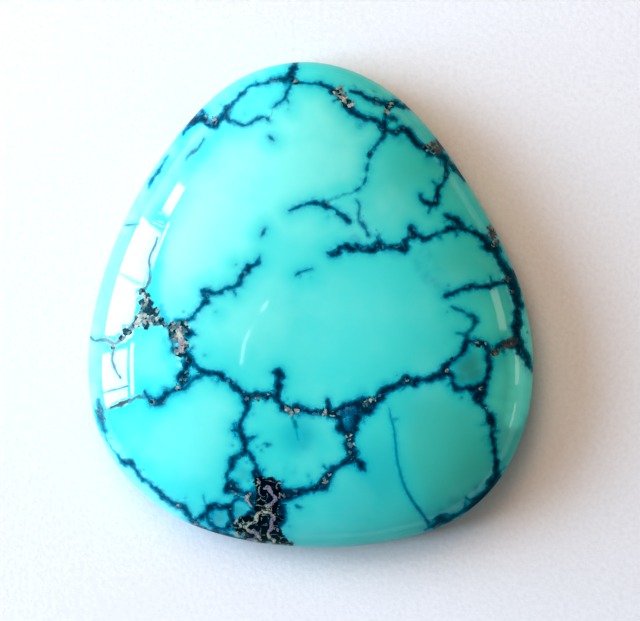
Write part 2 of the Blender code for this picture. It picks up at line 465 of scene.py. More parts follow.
VEINS = (
    # The narrow end.
    Vein("crown knot", ((296, 58, 3.5), (295, 66, 6), (291, 74, 9.5), (293, 80, 7))),
    Vein("crown arch", (
        (290, 77, 6), (280, 78, 6), (267, 82, 3), (255, 85, 3), (245, 90, 3.5), (239, 98, 4), (232, 105, 5),
        (226, 112, 6)
    ), 0.9),
    Vein("crown loop, right", (
        (294, 81, 3.5), (288, 90, 4), (285, 97, 3.4), (279, 102, 3.6), (273, 107, 1.8)
    ), 0.9),
    Vein("crown loop, foot", (
        (270, 120, 1.4), (265, 117.5, 2.6), (257, 119, 3), (250, 122, 3.4), (243, 124.5, 3.6),
        (234, 122, 4.5), (226, 117, 6)
    ), 0.9),
    Vein("crown loop, gap", ((273, 107, 1.2), (272, 113, 1), (270, 119, 1.2)), 0.35, 0.4),
    Vein("left crown knot", (
        (226, 114, 6), (219, 120, 7), (210, 126, 7), (206, 120, 8), (199, 118, 9), (193, 122, 8),
        (187, 128, 5), (183, 133, 3)
    )),
    Vein("left crown edge", ((203, 119, 4), (202, 113, 3), (199, 110, 2))),
    Vein("left dashes, upper", ((204, 139, 3.4), (201.5, 142, 2.6), (198, 147, 3.6)), 0.7),
    Vein("left dashes, lower", ((195.5, 150, 3.4), (190, 154, 3), (186.5, 160, 1.8)), 0.65),
    Vein("left edge streak", (
        (168, 155, 4), (165, 161, 3), (160, 169, 3.6), (152, 181, 4.6), (148, 187, 2.4)
    ), 0.8),
    Vein("lone spot", ((269, 136.5, 2.2), (271, 138.5, 3.2), (273.5, 140.5, 2.2)), 0.9, 0.3),
    Vein("right crown", (
        (293, 80, 5), (305, 83, 3.5), (316, 84, 3.5), (325, 86, 4), (334, 90, 5), (341, 97, 6),
        (348, 106, 7), (356, 113, 7.5), (368, 119, 6), (379, 121, 6), (386, 130, 7.5)
    )),
    Vein("right crown, upper", (
        (351, 91.5, 4), (362, 95.5, 5), (374, 100, 6), (384, 103.5, 7), (395, 105, 6), (405, 106, 5),
        (412, 107, 3)
    )),
    Vein("right crown link", ((385, 103, 5), (387, 108, 5), (386, 120, 4), (386, 131, 8))),
    Vein("right crown chip", ((386, 117, 4), (391, 117, 6), (397, 119, 3)), 0.9),
    Vein("right shoulder", (
        (386, 131, 6), (400, 130, 7), (410, 133, 7), (415, 140, 7), (422, 147, 7), (430, 152, 6),
        (440, 156, 8), (447, 161, 7), (456, 170, 5.5), (465, 180, 2.5)
    )),
    Vein("right shoulder, edge", ((441, 156, 7), (441, 148, 7), (437, 140, 4.5)), 0.9),
    Vein("right shoulder hook", (
        (445, 161, 6), (446, 172, 5), (444, 182, 3.5), (437, 190, 5), (438, 198, 5), (429, 204, 6.5),
        (420, 195, 2.5)
    )),
    Vein("beaded drop", ((386, 133, 5), (382, 139, 4.5), (377.5, 144, 3.2), (374, 148, 3.5)), 0.9, 0.6),
    Vein("beaded drop, bead", ((371.5, 151, 2.5), (370.5, 155, 6.5), (369.5, 159, 2.5)), 0.9, 0.6),
    Vein("beaded drop, second bead", ((368.5, 164, 2.4), (367.5, 168, 4.4), (367, 172, 2)), 0.85, 0.6),
    Vein("beaded drop, third bead", ((366.4, 177, 1.8), (365.4, 180.5, 3.8), (363.5, 184, 2)), 0.85, 0.6),
    Vein("beaded drop, last bead", ((361, 186.8, 2), (358.5, 189, 3.6), (355.5, 190.8, 1.6)), 0.8, 0.6),
    Vein("beaded drop, thread", (
        (374, 148, 1.6), (369, 161, 1.4), (366.5, 174, 1.4), (361.5, 186, 1.4)
    ), 0.5, 0.3),
    Vein("beaded drop, faint", ((354, 192, 1.2), (345, 194, 1.6), (332, 200, 2)), 0.4),

    # The middle of the face.
    Vein("brow", (
        (289, 211, 1.8), (293, 209, 3.5), (300, 206, 3.5), (312, 204, 4), (324, 206, 4.5), (334, 209, 3.5),
        (341, 214, 5), (346, 218, 8), (350, 220, 7)
    ), 0.9),
    Vein("brow, tail", (
        (356, 200, 2), (359, 207, 2.6), (358, 215, 2.6), (361, 223, 4), (366, 230, 3.6), (369, 236, 1.6)
    ), 0.65),
    Vein("brow, faint", ((325, 205, 3), (333, 198, 2.2), (338, 195, 1.4)), 0.45),
    Vein("main right", (
        (328, 252, 2.5), (334, 255, 9), (340, 249, 3.5), (347, 247.5, 6.5), (353, 248, 6.5),
        (359, 248.5, 5), (366, 249.5, 6), (372, 249, 8), (378, 244, 7), (386, 244.5, 6), (396, 247, 6.5),
        (404, 246, 9), (407, 240, 3.5), (411, 236, 7), (419, 237, 5.5), (427, 238, 6), (434, 235, 5),
        (445, 231, 4), (458, 229, 5.5), (468, 230, 5.5), (478, 235, 6.5), (487, 241, 9), (493, 247, 8),
        (499, 256, 6.5), (505, 268, 8), (511, 276, 11)
    )),
    Vein("main right, stub", ((412, 235, 6), (414, 229, 7.5), (411, 226, 4))),
    Vein("main right, branch", (
        (445, 215, 3), (448, 217, 6), (454, 220, 7.5), (462, 227, 7), (468, 230, 5)
    )),
    Vein("main right, thorns", ((376, 245, 3), (378, 239, 3), (379, 235, 2)), 0.7),
    Vein("short dash", ((296, 275, 1.6), (299, 273, 4), (304, 271, 3), (311, 269, 2)), 0.8),
    Vein("left diagonal", ((266, 229, 2), (264, 233, 4.5), (261, 237, 2.5)), 0.75),
    Vein("left riser", (
        (177, 322, 6), (184, 321, 3.5), (191, 319, 4), (197, 312, 4), (203, 305, 5), (208, 300, 6),
        (204, 295, 4.5), (205, 290, 6.5), (211, 293, 5), (218, 292, 4), (230, 289, 3.5), (236, 286, 4.5),
        (240, 281, 7.5), (244, 274, 4.5), (248, 271, 6.5), (254, 265, 5), (258, 260, 3.5), (259, 256, 1.6)
    ), 0.9),

    # The right side.
    Vein("right inlet", (
        (446, 295, 4.5), (453, 294, 6), (458, 291, 3.5), (466, 288, 4.5), (480, 287, 5), (495, 284, 6),
        (503, 282, 5.5), (511, 281, 5)
    )),
    Vein("right edge band", (
        (508, 270, 8), (513, 284, 11), (516.5, 300, 8.5), (518.5, 315, 9), (518, 328, 7), (517.5, 341, 9),
        (522, 351, 5)
    )),
    Vein("right edge band, end", (
        (521, 345, 5), (526, 355, 5.5), (529, 361, 5), (532, 366, 3), (534, 371, 1.6)
    ), 0.9),
    Vein("right squiggle, upper", (
        (452, 306, 1.8), (457, 309, 2.4), (463, 312, 2.2), (470, 315, 3.5), (476, 320, 7), (472, 328, 4),
        (469, 333, 4)
    ), 0.75),
    Vein("right squiggle, lower", ((457, 333, 1.4), (463, 334, 2.4), (468, 337, 5), (468, 343, 7)), 0.8),
    Vein("right cell, left", (
        (480, 341, 5), (470, 341, 5), (466, 343, 7), (463, 352, 7), (453, 360, 5), (445, 369, 9),
        (450, 376, 5), (453, 384, 4.5), (455, 390, 5.5), (459, 391, 5), (465, 388, 6), (475, 389, 7),
        (481, 390, 9)
    )),
    Vein("right cell, right", (
        (480, 341, 4), (484, 343, 4.5), (488, 348, 5), (489, 360, 6), (489, 370, 6.5), (486, 378, 5.5),
        (484, 387, 8)
    )),
    Vein("rusty chain", (
        (488, 346, 3), (494, 350, 3), (500, 346, 5), (505, 344, 8), (511, 344, 9), (519, 342, 9)
    )),
    Vein("great diagonal", (
        (445, 369, 9), (440, 374, 7), (430, 379, 6.5), (418, 381, 7), (406, 381.5, 8.5), (398, 385, 7),
        (390, 388, 7), (382, 393, 9.5), (375, 402, 10), (366, 406, 15), (357, 406, 14), (345, 410, 11),
        (333, 413.5, 9), (320, 413, 6), (312, 411.5, 8), (296, 409, 6.5), (288, 409, 8), (280, 403.5, 4.5),
        (275, 398, 6), (265, 396, 7), (256, 397, 7.5), (247, 398, 9)
    )),
    Vein("great diagonal, thorn", ((329, 410, 7), (328, 402, 5), (327, 398, 1.6))),
    Vein("great diagonal, hook", (
        (275, 397, 5), (279, 390, 7), (279.5, 381, 8.5), (278, 373, 8), (273, 373.5, 4.5)
    )),
    Vein("right hem", (
        (480, 391, 13), (478, 398, 11), (485, 408, 5.5), (489, 413, 7), (491, 423, 5), (493, 438, 4.5),
        (496, 452, 5), (496, 467, 7), (497, 479, 9), (491, 490, 13), (481, 499, 12), (470, 508, 8),
        (458, 515, 4.5), (446, 521, 6.5), (434, 526, 6), (425, 529, 2)
    )),
    Vein("right hem, knot", ((434, 519, 2), (441, 517, 6), (447, 514, 4)), 0.9),
    Vein("hairline", (
        (389, 408, 0.6), (391, 418, 0.8), (394, 430, 1.6), (396, 450, 2), (399, 468, 2), (405, 487, 2.6),
        (413, 501, 3), (420, 511, 3.4), (429, 523, 5)
    ), 0.72, 0.1),

    # The lower middle.
    Vein("centre drop", (
        (370, 404, 13), (362, 413, 9), (355, 424, 10), (351, 434, 12), (351, 445, 9), (352, 457, 10),
        (345, 463, 6.5), (337, 467, 7), (330, 473, 6), (326, 480, 10), (320, 487, 8), (310, 490, 8.5),
        (303, 491, 8.5), (296, 494, 10), (287, 495, 13), (280, 496, 12)
    )),
    Vein("centre drop, left wall", ((334, 414, 7), (340, 419, 7), (344, 428, 9), (350, 437, 12))),
    Vein("centre drop, spur", ((352, 459, 5), (358, 464, 5), (363, 468, 5.5), (366, 471, 2.5))),
    Vein("faint spur", ((292, 414, 5), (295, 422, 4), (297, 432, 1.6), (298, 440, 1.6)), 0.45),
    Vein("lower drop", (
        (248, 399, 11), (249, 405, 6), (246.5, 412, 6), (242, 422, 6), (241.5, 432, 8), (245, 441, 8),
        (246, 452, 7.5)
    )),
    Vein("lower drop, left thorn", ((242, 431, 5), (236, 431, 5), (231, 431, 1.6))),
    Vein("lower drop, right thorn", ((243, 438, 6), (248, 439, 6.5), (252, 438, 4), (255, 437, 1.6))),
    Vein("lower drop, right leg", (
        (246, 450, 6), (252, 456, 4.5), (255, 461, 5), (257, 470, 5.5), (260, 479, 7), (264, 484, 8)
    )),
    Vein("lower drop, left leg", (
        (245, 452, 7), (238.5, 456, 7), (233, 460.5, 7), (230, 468, 5), (227, 475, 5), (228, 482, 2)
    ), 0.9),
    Vein("great knot, right flank", (
        (274, 480, 5), (279, 487, 8), (280, 496, 11), (277, 504, 10), (281, 513, 12), (279, 522, 11),
        (276, 531, 9), (284, 540, 7)
    )),
    Vein("great knot, left flank", (
        (258, 481, 6), (257, 490, 7), (259, 499, 6), (256, 507, 7), (248, 516, 9), (240, 521, 6),
        (237, 532, 5)
    )),
    Vein("lower left knot", (
        (228, 492, 4.5), (232, 488, 12), (238, 491, 6.5), (244, 493, 6), (252, 497, 9)
    )),
    Vein("tiny dash", ((263, 444, 2), (267, 443, 2.6), (270, 443, 1.6)), 0.6),
    Vein("small cells, wall", (
        (252, 505, 7), (244, 499, 4.5), (237, 500, 4), (230, 507, 5.5), (221, 507, 6), (210, 507.5, 8),
        (207, 514, 6), (209, 521, 3.5), (214, 526, 5), (221, 529, 4), (228, 528, 7), (234, 524, 9)
    )),
    Vein("small cells, link", ((228, 508, 7), (230, 515, 5.5), (233, 521, 8))),
    Vein("small cells, left", ((210, 508, 7), (206, 513, 5), (199, 518.5, 6), (192, 521, 6.5))),
    Vein("spur by the cells", ((208, 507, 4), (206, 502, 2), (203, 496, 1.6)), 0.6),
    Vein("speck by the spur", ((296, 505, 2.5), (299, 507, 3), (301, 506, 1.5)), 0.7),

    # The left side.
    Vein("left wall", ((184, 350, 5), (187, 358, 6), (186.5, 367, 6), (184, 376, 10), (182, 384, 7))),
    Vein("left to lower drop", (
        (184, 353, 8), (190, 360, 6), (196, 366, 5), (205, 372, 6.5), (215, 372.5, 7), (224, 379, 6),
        (232, 384, 7), (240, 390, 6.5), (247, 397, 9)
    )),
    Vein("left fan", (
        (206, 372, 4.5), (200, 376, 4.5), (191, 382, 4.5), (184, 387, 6.5), (176, 390, 6), (168, 395, 6.5),
        (161, 401, 8.5), (152, 402, 9)
    ), 0.9),
    Vein("left fan, spur", ((150, 401, 5), (147, 397, 4.5), (145, 391, 3)), 0.9),
    Vein("left fan, pale end", ((149, 400, 3), (142, 397.5, 2.4), (135, 397.5, 2), (129, 400.5, 2.4)), 0.6),
    Vein("shoulder crack, last", (
        (129, 399, 2), (123, 403, 3), (117, 405.5, 2.6), (111, 407.5, 1.6)
    ), 0.9, 0.7),
    Vein("left knot, left side", ((166, 323, 3), (170, 331, 3), (172, 341, 3.4), (175, 352, 3.4)), 0.75),
    Vein("left knot, right", ((193, 334, 5.5), (188, 334, 8), (196, 335, 1.6))),
    Vein("left grit, upper tail", ((141, 291, 4), (144, 289, 2.5), (149, 281, 3), (150, 268, 1.6)), 0.7),
    Vein("shoulder crack, upper", ((125, 225, 2), (134, 224.5, 2), (139, 225, 1.4)), 0.5, 0.6),
    Vein("shoulder crack, corner", ((154, 222, 1.4), (158, 223.5, 2), (162, 225, 2.4)), 0.55, 0.6),
    Vein("shoulder crack, middle", (
        (157, 238, 1.2), (154.5, 246, 1.6), (150, 256, 2), (149.5, 266, 1.6), (151, 275, 2.2),
        (147, 284, 2.6)
    ), 0.7, 0.6),
    Vein("flank vein", (
        (87, 333, 2.2), (91, 338, 2.2), (97, 341.5, 1.8), (107, 340.5, 2.6), (114, 344.5, 3.6),
        (120, 341, 3.6), (125, 333, 4), (131, 326, 4), (137, 322, 4.5)
    ), 0.65),
    Vein("flank crack", (
        (113, 347, 2.4), (112.5, 356, 1.8), (113, 365, 2), (116, 372, 1.7), (121, 378, 1.2)
    ), 0.7, 0.6),
    Vein("flank crack, lower", (
        (104, 392.5, 1.2), (112, 390.5, 1.8), (121, 388, 1.6), (128, 385.5, 1.2)
    ), 0.6, 0.4),
    Vein("lower left edge", (
        (116, 455, 2.2), (120, 459, 3.5), (124, 463, 5), (130, 462, 5), (137, 471, 5), (150, 484, 4.5),
        (162, 494, 5.5), (172, 502, 5), (179, 506, 7.5), (186, 512, 7), (192, 520, 5.5)
    ), 0.78),
    Vein("left edge shadow", (
        (97, 400, 5), (99, 408, 8), (101, 417, 9), (102.5, 425, 7), (104, 433, 4), (107, 441, 2.4),
        (112, 449, 1.8), (116, 455, 2.2)
    ), 0.6),
    Vein("lower left edge, end", (
        (192, 520, 6), (205, 530, 5.5), (220, 534, 5), (233, 538, 7), (244, 542, 5)
    )),
)

PATCHES = (
    Patch("crown speck", Fill.GRIT, ((296, 82, 3.5),), 0.8),
    Patch("crown grit", Fill.GRIT, (
        (338, 92, 5), (343, 97, 6), (347, 103, 5.5), (341, 89, 3.5), (352, 104, 3.5)
    ), 0.9),
    Patch("crown grit, right", Fill.GRIT, ((390, 105, 4.5), (387, 110, 4.5), (377, 101, 3)), 0.7),
    Patch("left crown grit", Fill.GRIT, ((214, 120, 4.5), (216, 123, 3), (207, 116, 3)), 0.75),
    Patch("right shoulder grit", Fill.GRIT, (
        (427, 147, 5), (432, 146, 5), (434, 151, 4), (438, 149, 5)
    ), 0.75),
    Patch("right shoulder rust", Fill.RUST, ((438, 149, 6), (434, 143, 4), (449, 163, 3)), 0.8),
    Patch("right edge grit", Fill.GRIT, ((492, 234, 6), (496, 243, 5), (490, 228, 4)), 0.75),
    Patch("right edge rust", Fill.RUST, ((493, 235, 6), (496, 242, 4), (490, 228, 3)), 0.7),
    Patch("right edge grit, lower", Fill.GRIT, ((507, 279, 5), (511, 290, 3.5)), 0.65),
    Patch("right edge rust, lower", Fill.RUST, ((509, 279, 4), (513, 291, 3)), 0.6),
    Patch("rusty chain grit", Fill.GRIT, ((493, 353, 4.5), (498, 351, 3.5)), 0.8),
    Patch("rusty chain grit, far", Fill.GRIT, ((507, 346, 3.5), (512, 344, 3)), 0.5),
    Patch("rusty chain rust", Fill.RUST, (
        (494, 352, 5), (506, 344, 6.5), (512, 343, 6.5), (516, 340, 4)
    ), 0.8),
    Patch("right cell grit", Fill.GRIT, ((479, 344, 4), (485, 343, 2.5)), 0.75),
    Patch("right cell speck", Fill.GRIT, ((452, 359, 2.5), (447, 371, 3)), 0.7),
    Patch("right hem grit", Fill.GRIT, ((481, 389, 4), (486, 409, 3.5)), 0.6),
    Patch("diagonal speck", Fill.GRIT, ((405, 380, 3.5),), 0.75),
    Patch("diagonal grit", Fill.GRIT, ((324, 413, 4.5), (333, 414, 4), (372, 400, 5)), 0.65),
    Patch("diagonal knot grit", Fill.GRIT, ((292, 412, 5), (288, 408, 4), (298, 411, 3)), 0.75),
    Patch("lower drop grit", Fill.GRIT, ((258, 397, 5), (267, 396, 4.5), (247, 399, 3)), 0.65),
    Patch("centre drop grit", Fill.GRIT, (
        (349, 437, 5), (351, 446, 5), (351, 453, 5), (367, 404, 5)
    ), 0.65),
    Patch("centre drop, lower grit", Fill.GRIT, ((325, 481, 5), (330, 474, 2.5)), 0.65),
    Patch("centre blue", Fill.BLUE, (
        (343, 413, 4), (348, 414, 6), (353, 411, 5), (349, 421, 6), (348, 427, 4)
    ), 0.9),
    Patch("left grit", Fill.GRIT, (
        (142, 292, 4.5), (147, 296, 4), (143, 302, 5.5), (150, 304, 4.5), (147, 311, 8), (155, 312, 5),
        (151, 319, 8), (142, 318, 7), (160, 321, 5), (137, 324, 5), (146, 325, 4.5), (165, 325, 2.5),
        (133.5, 327, 2.5)
    ), 0.9),
    Patch("left knot grit", Fill.GRIT, (
        (174, 328, 7), (183, 327, 7), (178, 337, 7), (184, 344, 6), (180, 352, 6), (172, 334, 4)
    )),
    Patch("left wall grit", Fill.GRIT, ((189, 360, 4), (187, 373, 3), (184, 380, 3.5)), 0.75),
    Patch("left fan speck", Fill.GRIT, ((152, 402, 3.5), (178, 388, 3))),
    Patch("left edge grit", Fill.GRIT, ((99, 411, 5), (102, 420, 5)), 0.5),
    Patch("left edge smudge", Fill.SMUDGE, ((98, 410, 8), (103, 420, 11), (107, 432, 10))),
    Patch("flank grit", Fill.GRIT, ((127, 331, 5), (122, 338, 3.5), (113, 347, 3))),
    Patch("lower edge grit", Fill.GRIT, ((178, 506, 3), (196, 524, 3), (205, 529, 3)), 0.6),
    Patch("small cells grit", Fill.GRIT, ((246, 498, 3.5), (235, 494, 3)), 0.6),
    Patch("great knot", Fill.PITCH, (
        (260, 482, 6), (270, 483, 7), (278, 484, 3.5), (265, 491, 9), (274, 494, 9), (282, 496, 3.5),
        (264, 501, 9), (272, 506, 8), (257, 508, 4), (264, 514, 8), (273, 516, 6), (280, 519, 3.5),
        (262, 522, 9), (250, 522, 7), (242, 520, 4.5), (272, 526, 7), (253, 530, 10), (267, 532, 11),
        (279, 532, 4), (241, 530, 6.5), (277, 539, 8), (263, 539, 8), (250, 538, 7), (285, 542, 4.5),
        (291, 544, 3)
    )),
    Patch("smudge, right", Fill.SMUDGE, ((425, 262, 13), (432, 275, 12), (438, 288, 9))),
    Patch("smudge under the crown", Fill.SMUDGE, (
        (398, 138, 9), (360, 124, 6), (350, 100, 7), (394, 105, 8)
    )),
    Patch("smudge, middle", Fill.SMUDGE, ((395, 252, 8), (355, 240, 7), (370, 235, 5))),
    Patch("smudge, lower", Fill.SMUDGE, ((302, 424, 9), (307, 436, 8), (305, 446, 6)), 0.6),
    Patch("smudge by the knot", Fill.SMUDGE, ((240, 474, 8), (236, 466, 7), (290, 470, 8), (230, 497, 9))),
    Patch("smudge, small cells", Fill.SMUDGE, (
        (216, 517, 12), (238, 512, 8), (243, 503, 7), (222, 500, 6)
    )),
    Patch("smudge, left knot", Fill.SMUDGE, ((169, 340, 8), (172, 350, 6))),
    Patch("smudge, hem", Fill.SMUDGE, ((436, 512, 11), (455, 505, 10), (480, 488, 9), (486, 440, 6))),
    Patch("smudge, left fan", Fill.SMUDGE, ((160, 392, 7), (190, 377, 8), (152, 390, 6))),
    Patch("smudge, great diagonal", Fill.SMUDGE, ((360, 395, 9), (385, 385, 7), (350, 425, 9))),
)

# Tan clay that curls through the great knot's black lumps.
SEAMS = (
    Vein("knot seam, upper loop", (
        (264.5, 488.5, 1.8), (267.5, 485.5, 2.6), (270.3, 490.5, 2.2), (272.7, 494.5, 2), (275.8, 497, 2.6),
        (275.2, 501.5, 2.6), (272.5, 503.8, 1.6), (269.5, 506.3, 3), (265.5, 506.6, 2.2)
    )),
    Vein("knot seam, small cell", (
        (250, 493, 1.6), (246, 495.5, 2.4), (245, 498, 2), (248, 502.5, 1.6), (251, 506, 1.8)
    ), 0.7),
    Vein("knot seam, middle loop", (
        (262.5, 512, 2.2), (266, 512.8, 2.4), (269.5, 513, 2.2), (272.6, 516, 2.2), (273.6, 520.5, 2.4),
        (270.8, 521.5, 1.8), (270.6, 526, 2), (269, 530, 2.2), (267.4, 534.5, 2), (269.5, 537, 1.6)
    )),
    Vein("knot seam, bar", (
        (257.2, 514, 2.6), (256.3, 518, 3.4), (255.4, 522.5, 2.4), (251.5, 523.2, 1.8), (247.5, 525, 2.6),
        (245.8, 527, 2)
    )),
    Vein("knot seam, corner", (
        (247, 527.5, 1.8), (249.8, 530.3, 2.6), (255, 532, 2.6), (257.5, 533.4, 3.2), (258.8, 536, 2.8),
        (260.2, 538.8, 2)
    )),
    Vein("knot seam, foot", ((248, 539, 2.4), (252, 538.8, 2.2), (255.5, 541, 1.8)), 0.8),
    Vein("knot seam, far left", ((236.4, 520, 2.2), (235.2, 523, 1.6)), 0.6),
    Vein("knot seam, lower left", ((236.5, 532, 1.8), (236, 535, 2.6), (238.5, 537, 1.8)), 0.7),
    Vein("left knot clay", ((178, 331, 3), (180, 338, 4), (181.5, 345, 5), (181, 349, 4))),
    Vein("knot fleck, left", ((239, 524.6, 2), (240.2, 526, 1.6)), 0.6),
    Vein("knot fleck, crown", ((278.6, 482.2, 2), (279.6, 483, 1.6)), 0.6),
    Vein("knot fleck, crown, left", ((257.6, 482.2, 1.8), (258.6, 483.4, 1.4)), 0.5),
    Vein("knot fleck, right", ((277.2, 528.6, 2), (277.9, 530.2, 1.6)), 0.6),
    Vein("knot fleck, foot", ((275.6, 540, 1.8), (275.9, 542, 1.4)), 0.6),
)

CLOUDS = (
    Patch("upper cell", Cloud.CHALKY, (
        (205, 235, 62), (235, 185, 70), (290, 150, 62), (340, 120, 40), (300, 195, 52), (345, 170, 36)
    )),
    Patch("right flank of the brow", Cloud.CHALKY, ((410, 212, 28), (385, 200, 22)), 0.65),
    Patch("central cell", Cloud.CHALKY, ((290, 310, 72), (240, 320, 45)), 0.7),
    Patch("central cell, right", Cloud.CHALKY, ((365, 320, 60), (425, 310, 30)), 0.45),
    Patch("lower left cell", Cloud.CHALKY, ((175, 430, 62), (215, 420, 40), (150, 460, 40)), 0.66),
    Patch("left cell", Cloud.CHALKY, ((150, 355, 44),), 0.6),
    Patch("left flank", Cloud.CHALKY, (
        (190, 140, 30), (150, 200, 36), (128, 240, 34), (110, 285, 34), (98, 335, 32), (96, 385, 30)
    )),
    Patch("top flank", Cloud.CHALKY, ((230, 95, 26), (255, 80, 20)), 0.4),
    Patch("lower middle cell", Cloud.CHALKY, ((310, 464, 18),), 0.3),
    # Painted glare: a whitish band laid along the edges that face the window.
    Patch("left edge glare", Cloud.MILKY, (
        (116, 244, 13), (111, 256, 14), (106, 268, 15), (102, 280, 16), (99, 292, 16), (96, 304, 16),
        (93, 316, 16), (91, 328, 16), (89, 340, 16), (88, 352, 15), (87, 364, 14), (88, 376, 13),
        (90, 388, 12), (93, 399, 11)
    ), 0.53),
    Patch("left edge glare, upper", Cloud.MILKY, (
        (166, 152, 11), (157, 164, 11), (150, 176, 12), (143, 188, 12), (136, 201, 12), (129, 214, 13),
        (122, 228, 13)
    ), 0.5),
    Patch("left edge glare, lower", Cloud.MILKY, (
        (106, 442, 12), (112, 452, 13), (119, 462, 14), (127, 471, 14), (135, 480, 14), (144, 489, 14),
        (153, 497, 14), (163, 505, 13), (174, 512, 12)
    ), 0.5),
    Patch("top edge glare", Cloud.MILKY, (
        (215, 103, 11), (226, 95, 11), (237, 87, 11), (248, 80, 10), (260, 74, 9)
    ), 0.25),
    Patch("left cracks", Cloud.LIMONITE, (
        (152, 250, 18), (140, 224, 18), (125, 226, 14), (92, 336, 14), (112, 345, 16), (115, 370, 14),
        (120, 392, 16), (118, 405, 14), (134, 400, 10), (146, 285, 10)
    )),
    Patch("right cells", Cloud.GREEN, (
        (440, 440, 74), (455, 470, 50), (490, 320, 34), (505, 380, 30)
    ), 0.85),
    Patch("shoulder cells", Cloud.GREEN, ((415, 180, 34), (460, 262, 30)), 0.6),
    # Painted rim light: pale green on the shoulder and flank that face away from the window.
    Patch("shoulder rim", Cloud.PALE, ((457, 196, 20), (468, 191, 14)), 0.18),
    Patch("right flank cell", Cloud.PALE, ((492, 318, 22),), 0.32),
    Patch("right flank", Cloud.PALE, ((502, 385, 22), (498, 408, 20)), 0.4),
    Patch("small right cell", Cloud.DUSKY, ((467, 364, 17), (474, 376, 13), (461, 378, 9)), 0.75),
    Patch("small lower cells", Cloud.DUSKY, ((216, 517, 12), (238, 512, 8)), 0.65),
    Patch("long lower cell", Cloud.DUSKY, ((244, 474, 9), (238, 481, 7)), 0.4),
    Patch("above the left knot", Cloud.DEEP, ((162.5, 306, 4), (164, 312, 5), (166.5, 319, 4.5))),
    Patch("shoulder link", Cloud.DEEP, ((430, 161, 9),), 0.5),
    Patch("left wall chalk", Cloud.MILKY, ((180.5, 357, 4), (180.5, 364, 4)), 0.5),
    Patch("faint spur cell", Cloud.DEEP, ((299, 436, 22),), 0.7),
    Patch("lower middle", Cloud.PALE, ((340, 515, 34), (388, 526, 24)), 0.18),
    Patch("under the diagonal", Cloud.DEEP, ((375, 470, 36),), 0.5),
    Patch("under the diagonal, right", Cloud.DEEP, ((410, 408, 32),), 0.25),
    Patch("lower middle, deep", Cloud.DEEP, ((350, 500, 30),), 0.35),
    Patch("above the hem", Cloud.DEEP, ((440, 508, 16), (470, 494, 14)), 0.25),
    # Painted rim light along the rim that faces away from the window.
    Patch("right rim", Cloud.PALE, (
        (520, 322, 12), (522, 334, 14), (524, 346, 16), (525, 358, 17), (525, 370, 18), (524, 382, 18),
        (522, 394, 17), (519, 406, 15), (515, 418, 12)
    ), 0.9),
)


@dataclass(frozen=True)
class Strokes:
    """Straight strokes of the web, in millimetres: two ends, a half width at each, and a tone."""

    start: np.ndarray
    end: np.ndarray
    start_half: np.ndarray
    end_half: np.ndarray
    tone: np.ndarray

    def part(self, first: int, count: int) -> "Strokes":
        """Take a few strokes out.

        Args:
            first: the number of the first one.
            count: how many at most.

        Returns:
            The strokes taken.
        """
        some = slice(first, first + count)
        return Strokes(
            self.start[some], self.end[some], self.start_half[some], self.end_half[some], self.tone[some],
        )


@dataclass(frozen=True)
class Field:
    """How far a set of strokes is from each place: one value, or one row of reach, for each."""

    gap: np.ndarray
    reach: np.ndarray
    half: np.ndarray
    tone: np.ndarray

    @classmethod
    def empty(cls, count: int, far: float) -> "Field":
        """Return a field for places that no stroke is near."""
        return cls(np.full(count, far), np.full((count, 2), far), np.zeros(count), np.zeros(count))

    def lower(self, flat: np.ndarray, strokes: Strokes, far: float) -> None:
        """Lower the field wherever one of the strokes is nearer than all before.

        A stroke's gap at a place is the distance to the nearest point of the line between its ends,
        less the half width there, which runs evenly from one end to the other.

        Args:
            flat: one row a place, x and y.
            strokes: a few strokes that lie close together.
            far: how far out they are worked out.
        """
        low = np.minimum(strokes.start, strokes.end).min(axis=0) - far
        high = np.maximum(strokes.start, strokes.end).max(axis=0) + far
        near = np.flatnonzero(((flat > low) & (flat < high)).all(axis=1))
        along = strokes.end - strokes.start
        length = np.maximum((along**2).sum(axis=1), 1e-12)    # squared; a fleck's two ends coincide
        away = flat[near][:, None] - strokes.start
        share = np.clip((away * along).sum(axis=2) / length, 0.0, 1.0)
        reach = share[:, :, None] * along - away
        half = strokes.start_half + (strokes.end_half - strokes.start_half) * share
        gap = np.linalg.norm(reach, axis=2) - half
        row = np.arange(len(near))
        best = gap.argmin(axis=1)
        closer = gap[row, best] < self.gap[near]
        row, best, near = row[closer], best[closer], near[closer]
        self.gap[near] = gap[row, best]
        self.reach[near] = reach[row, best]
        self.half[near] = half[row, best]
        self.tone[near] = strokes.tone[best]

    def thin(self, amount: np.ndarray) -> None:
        """Take an amount off the half width of whatever stroke is nearest to each place."""
        self.gap[:] += amount
        self.half[:] -= amount


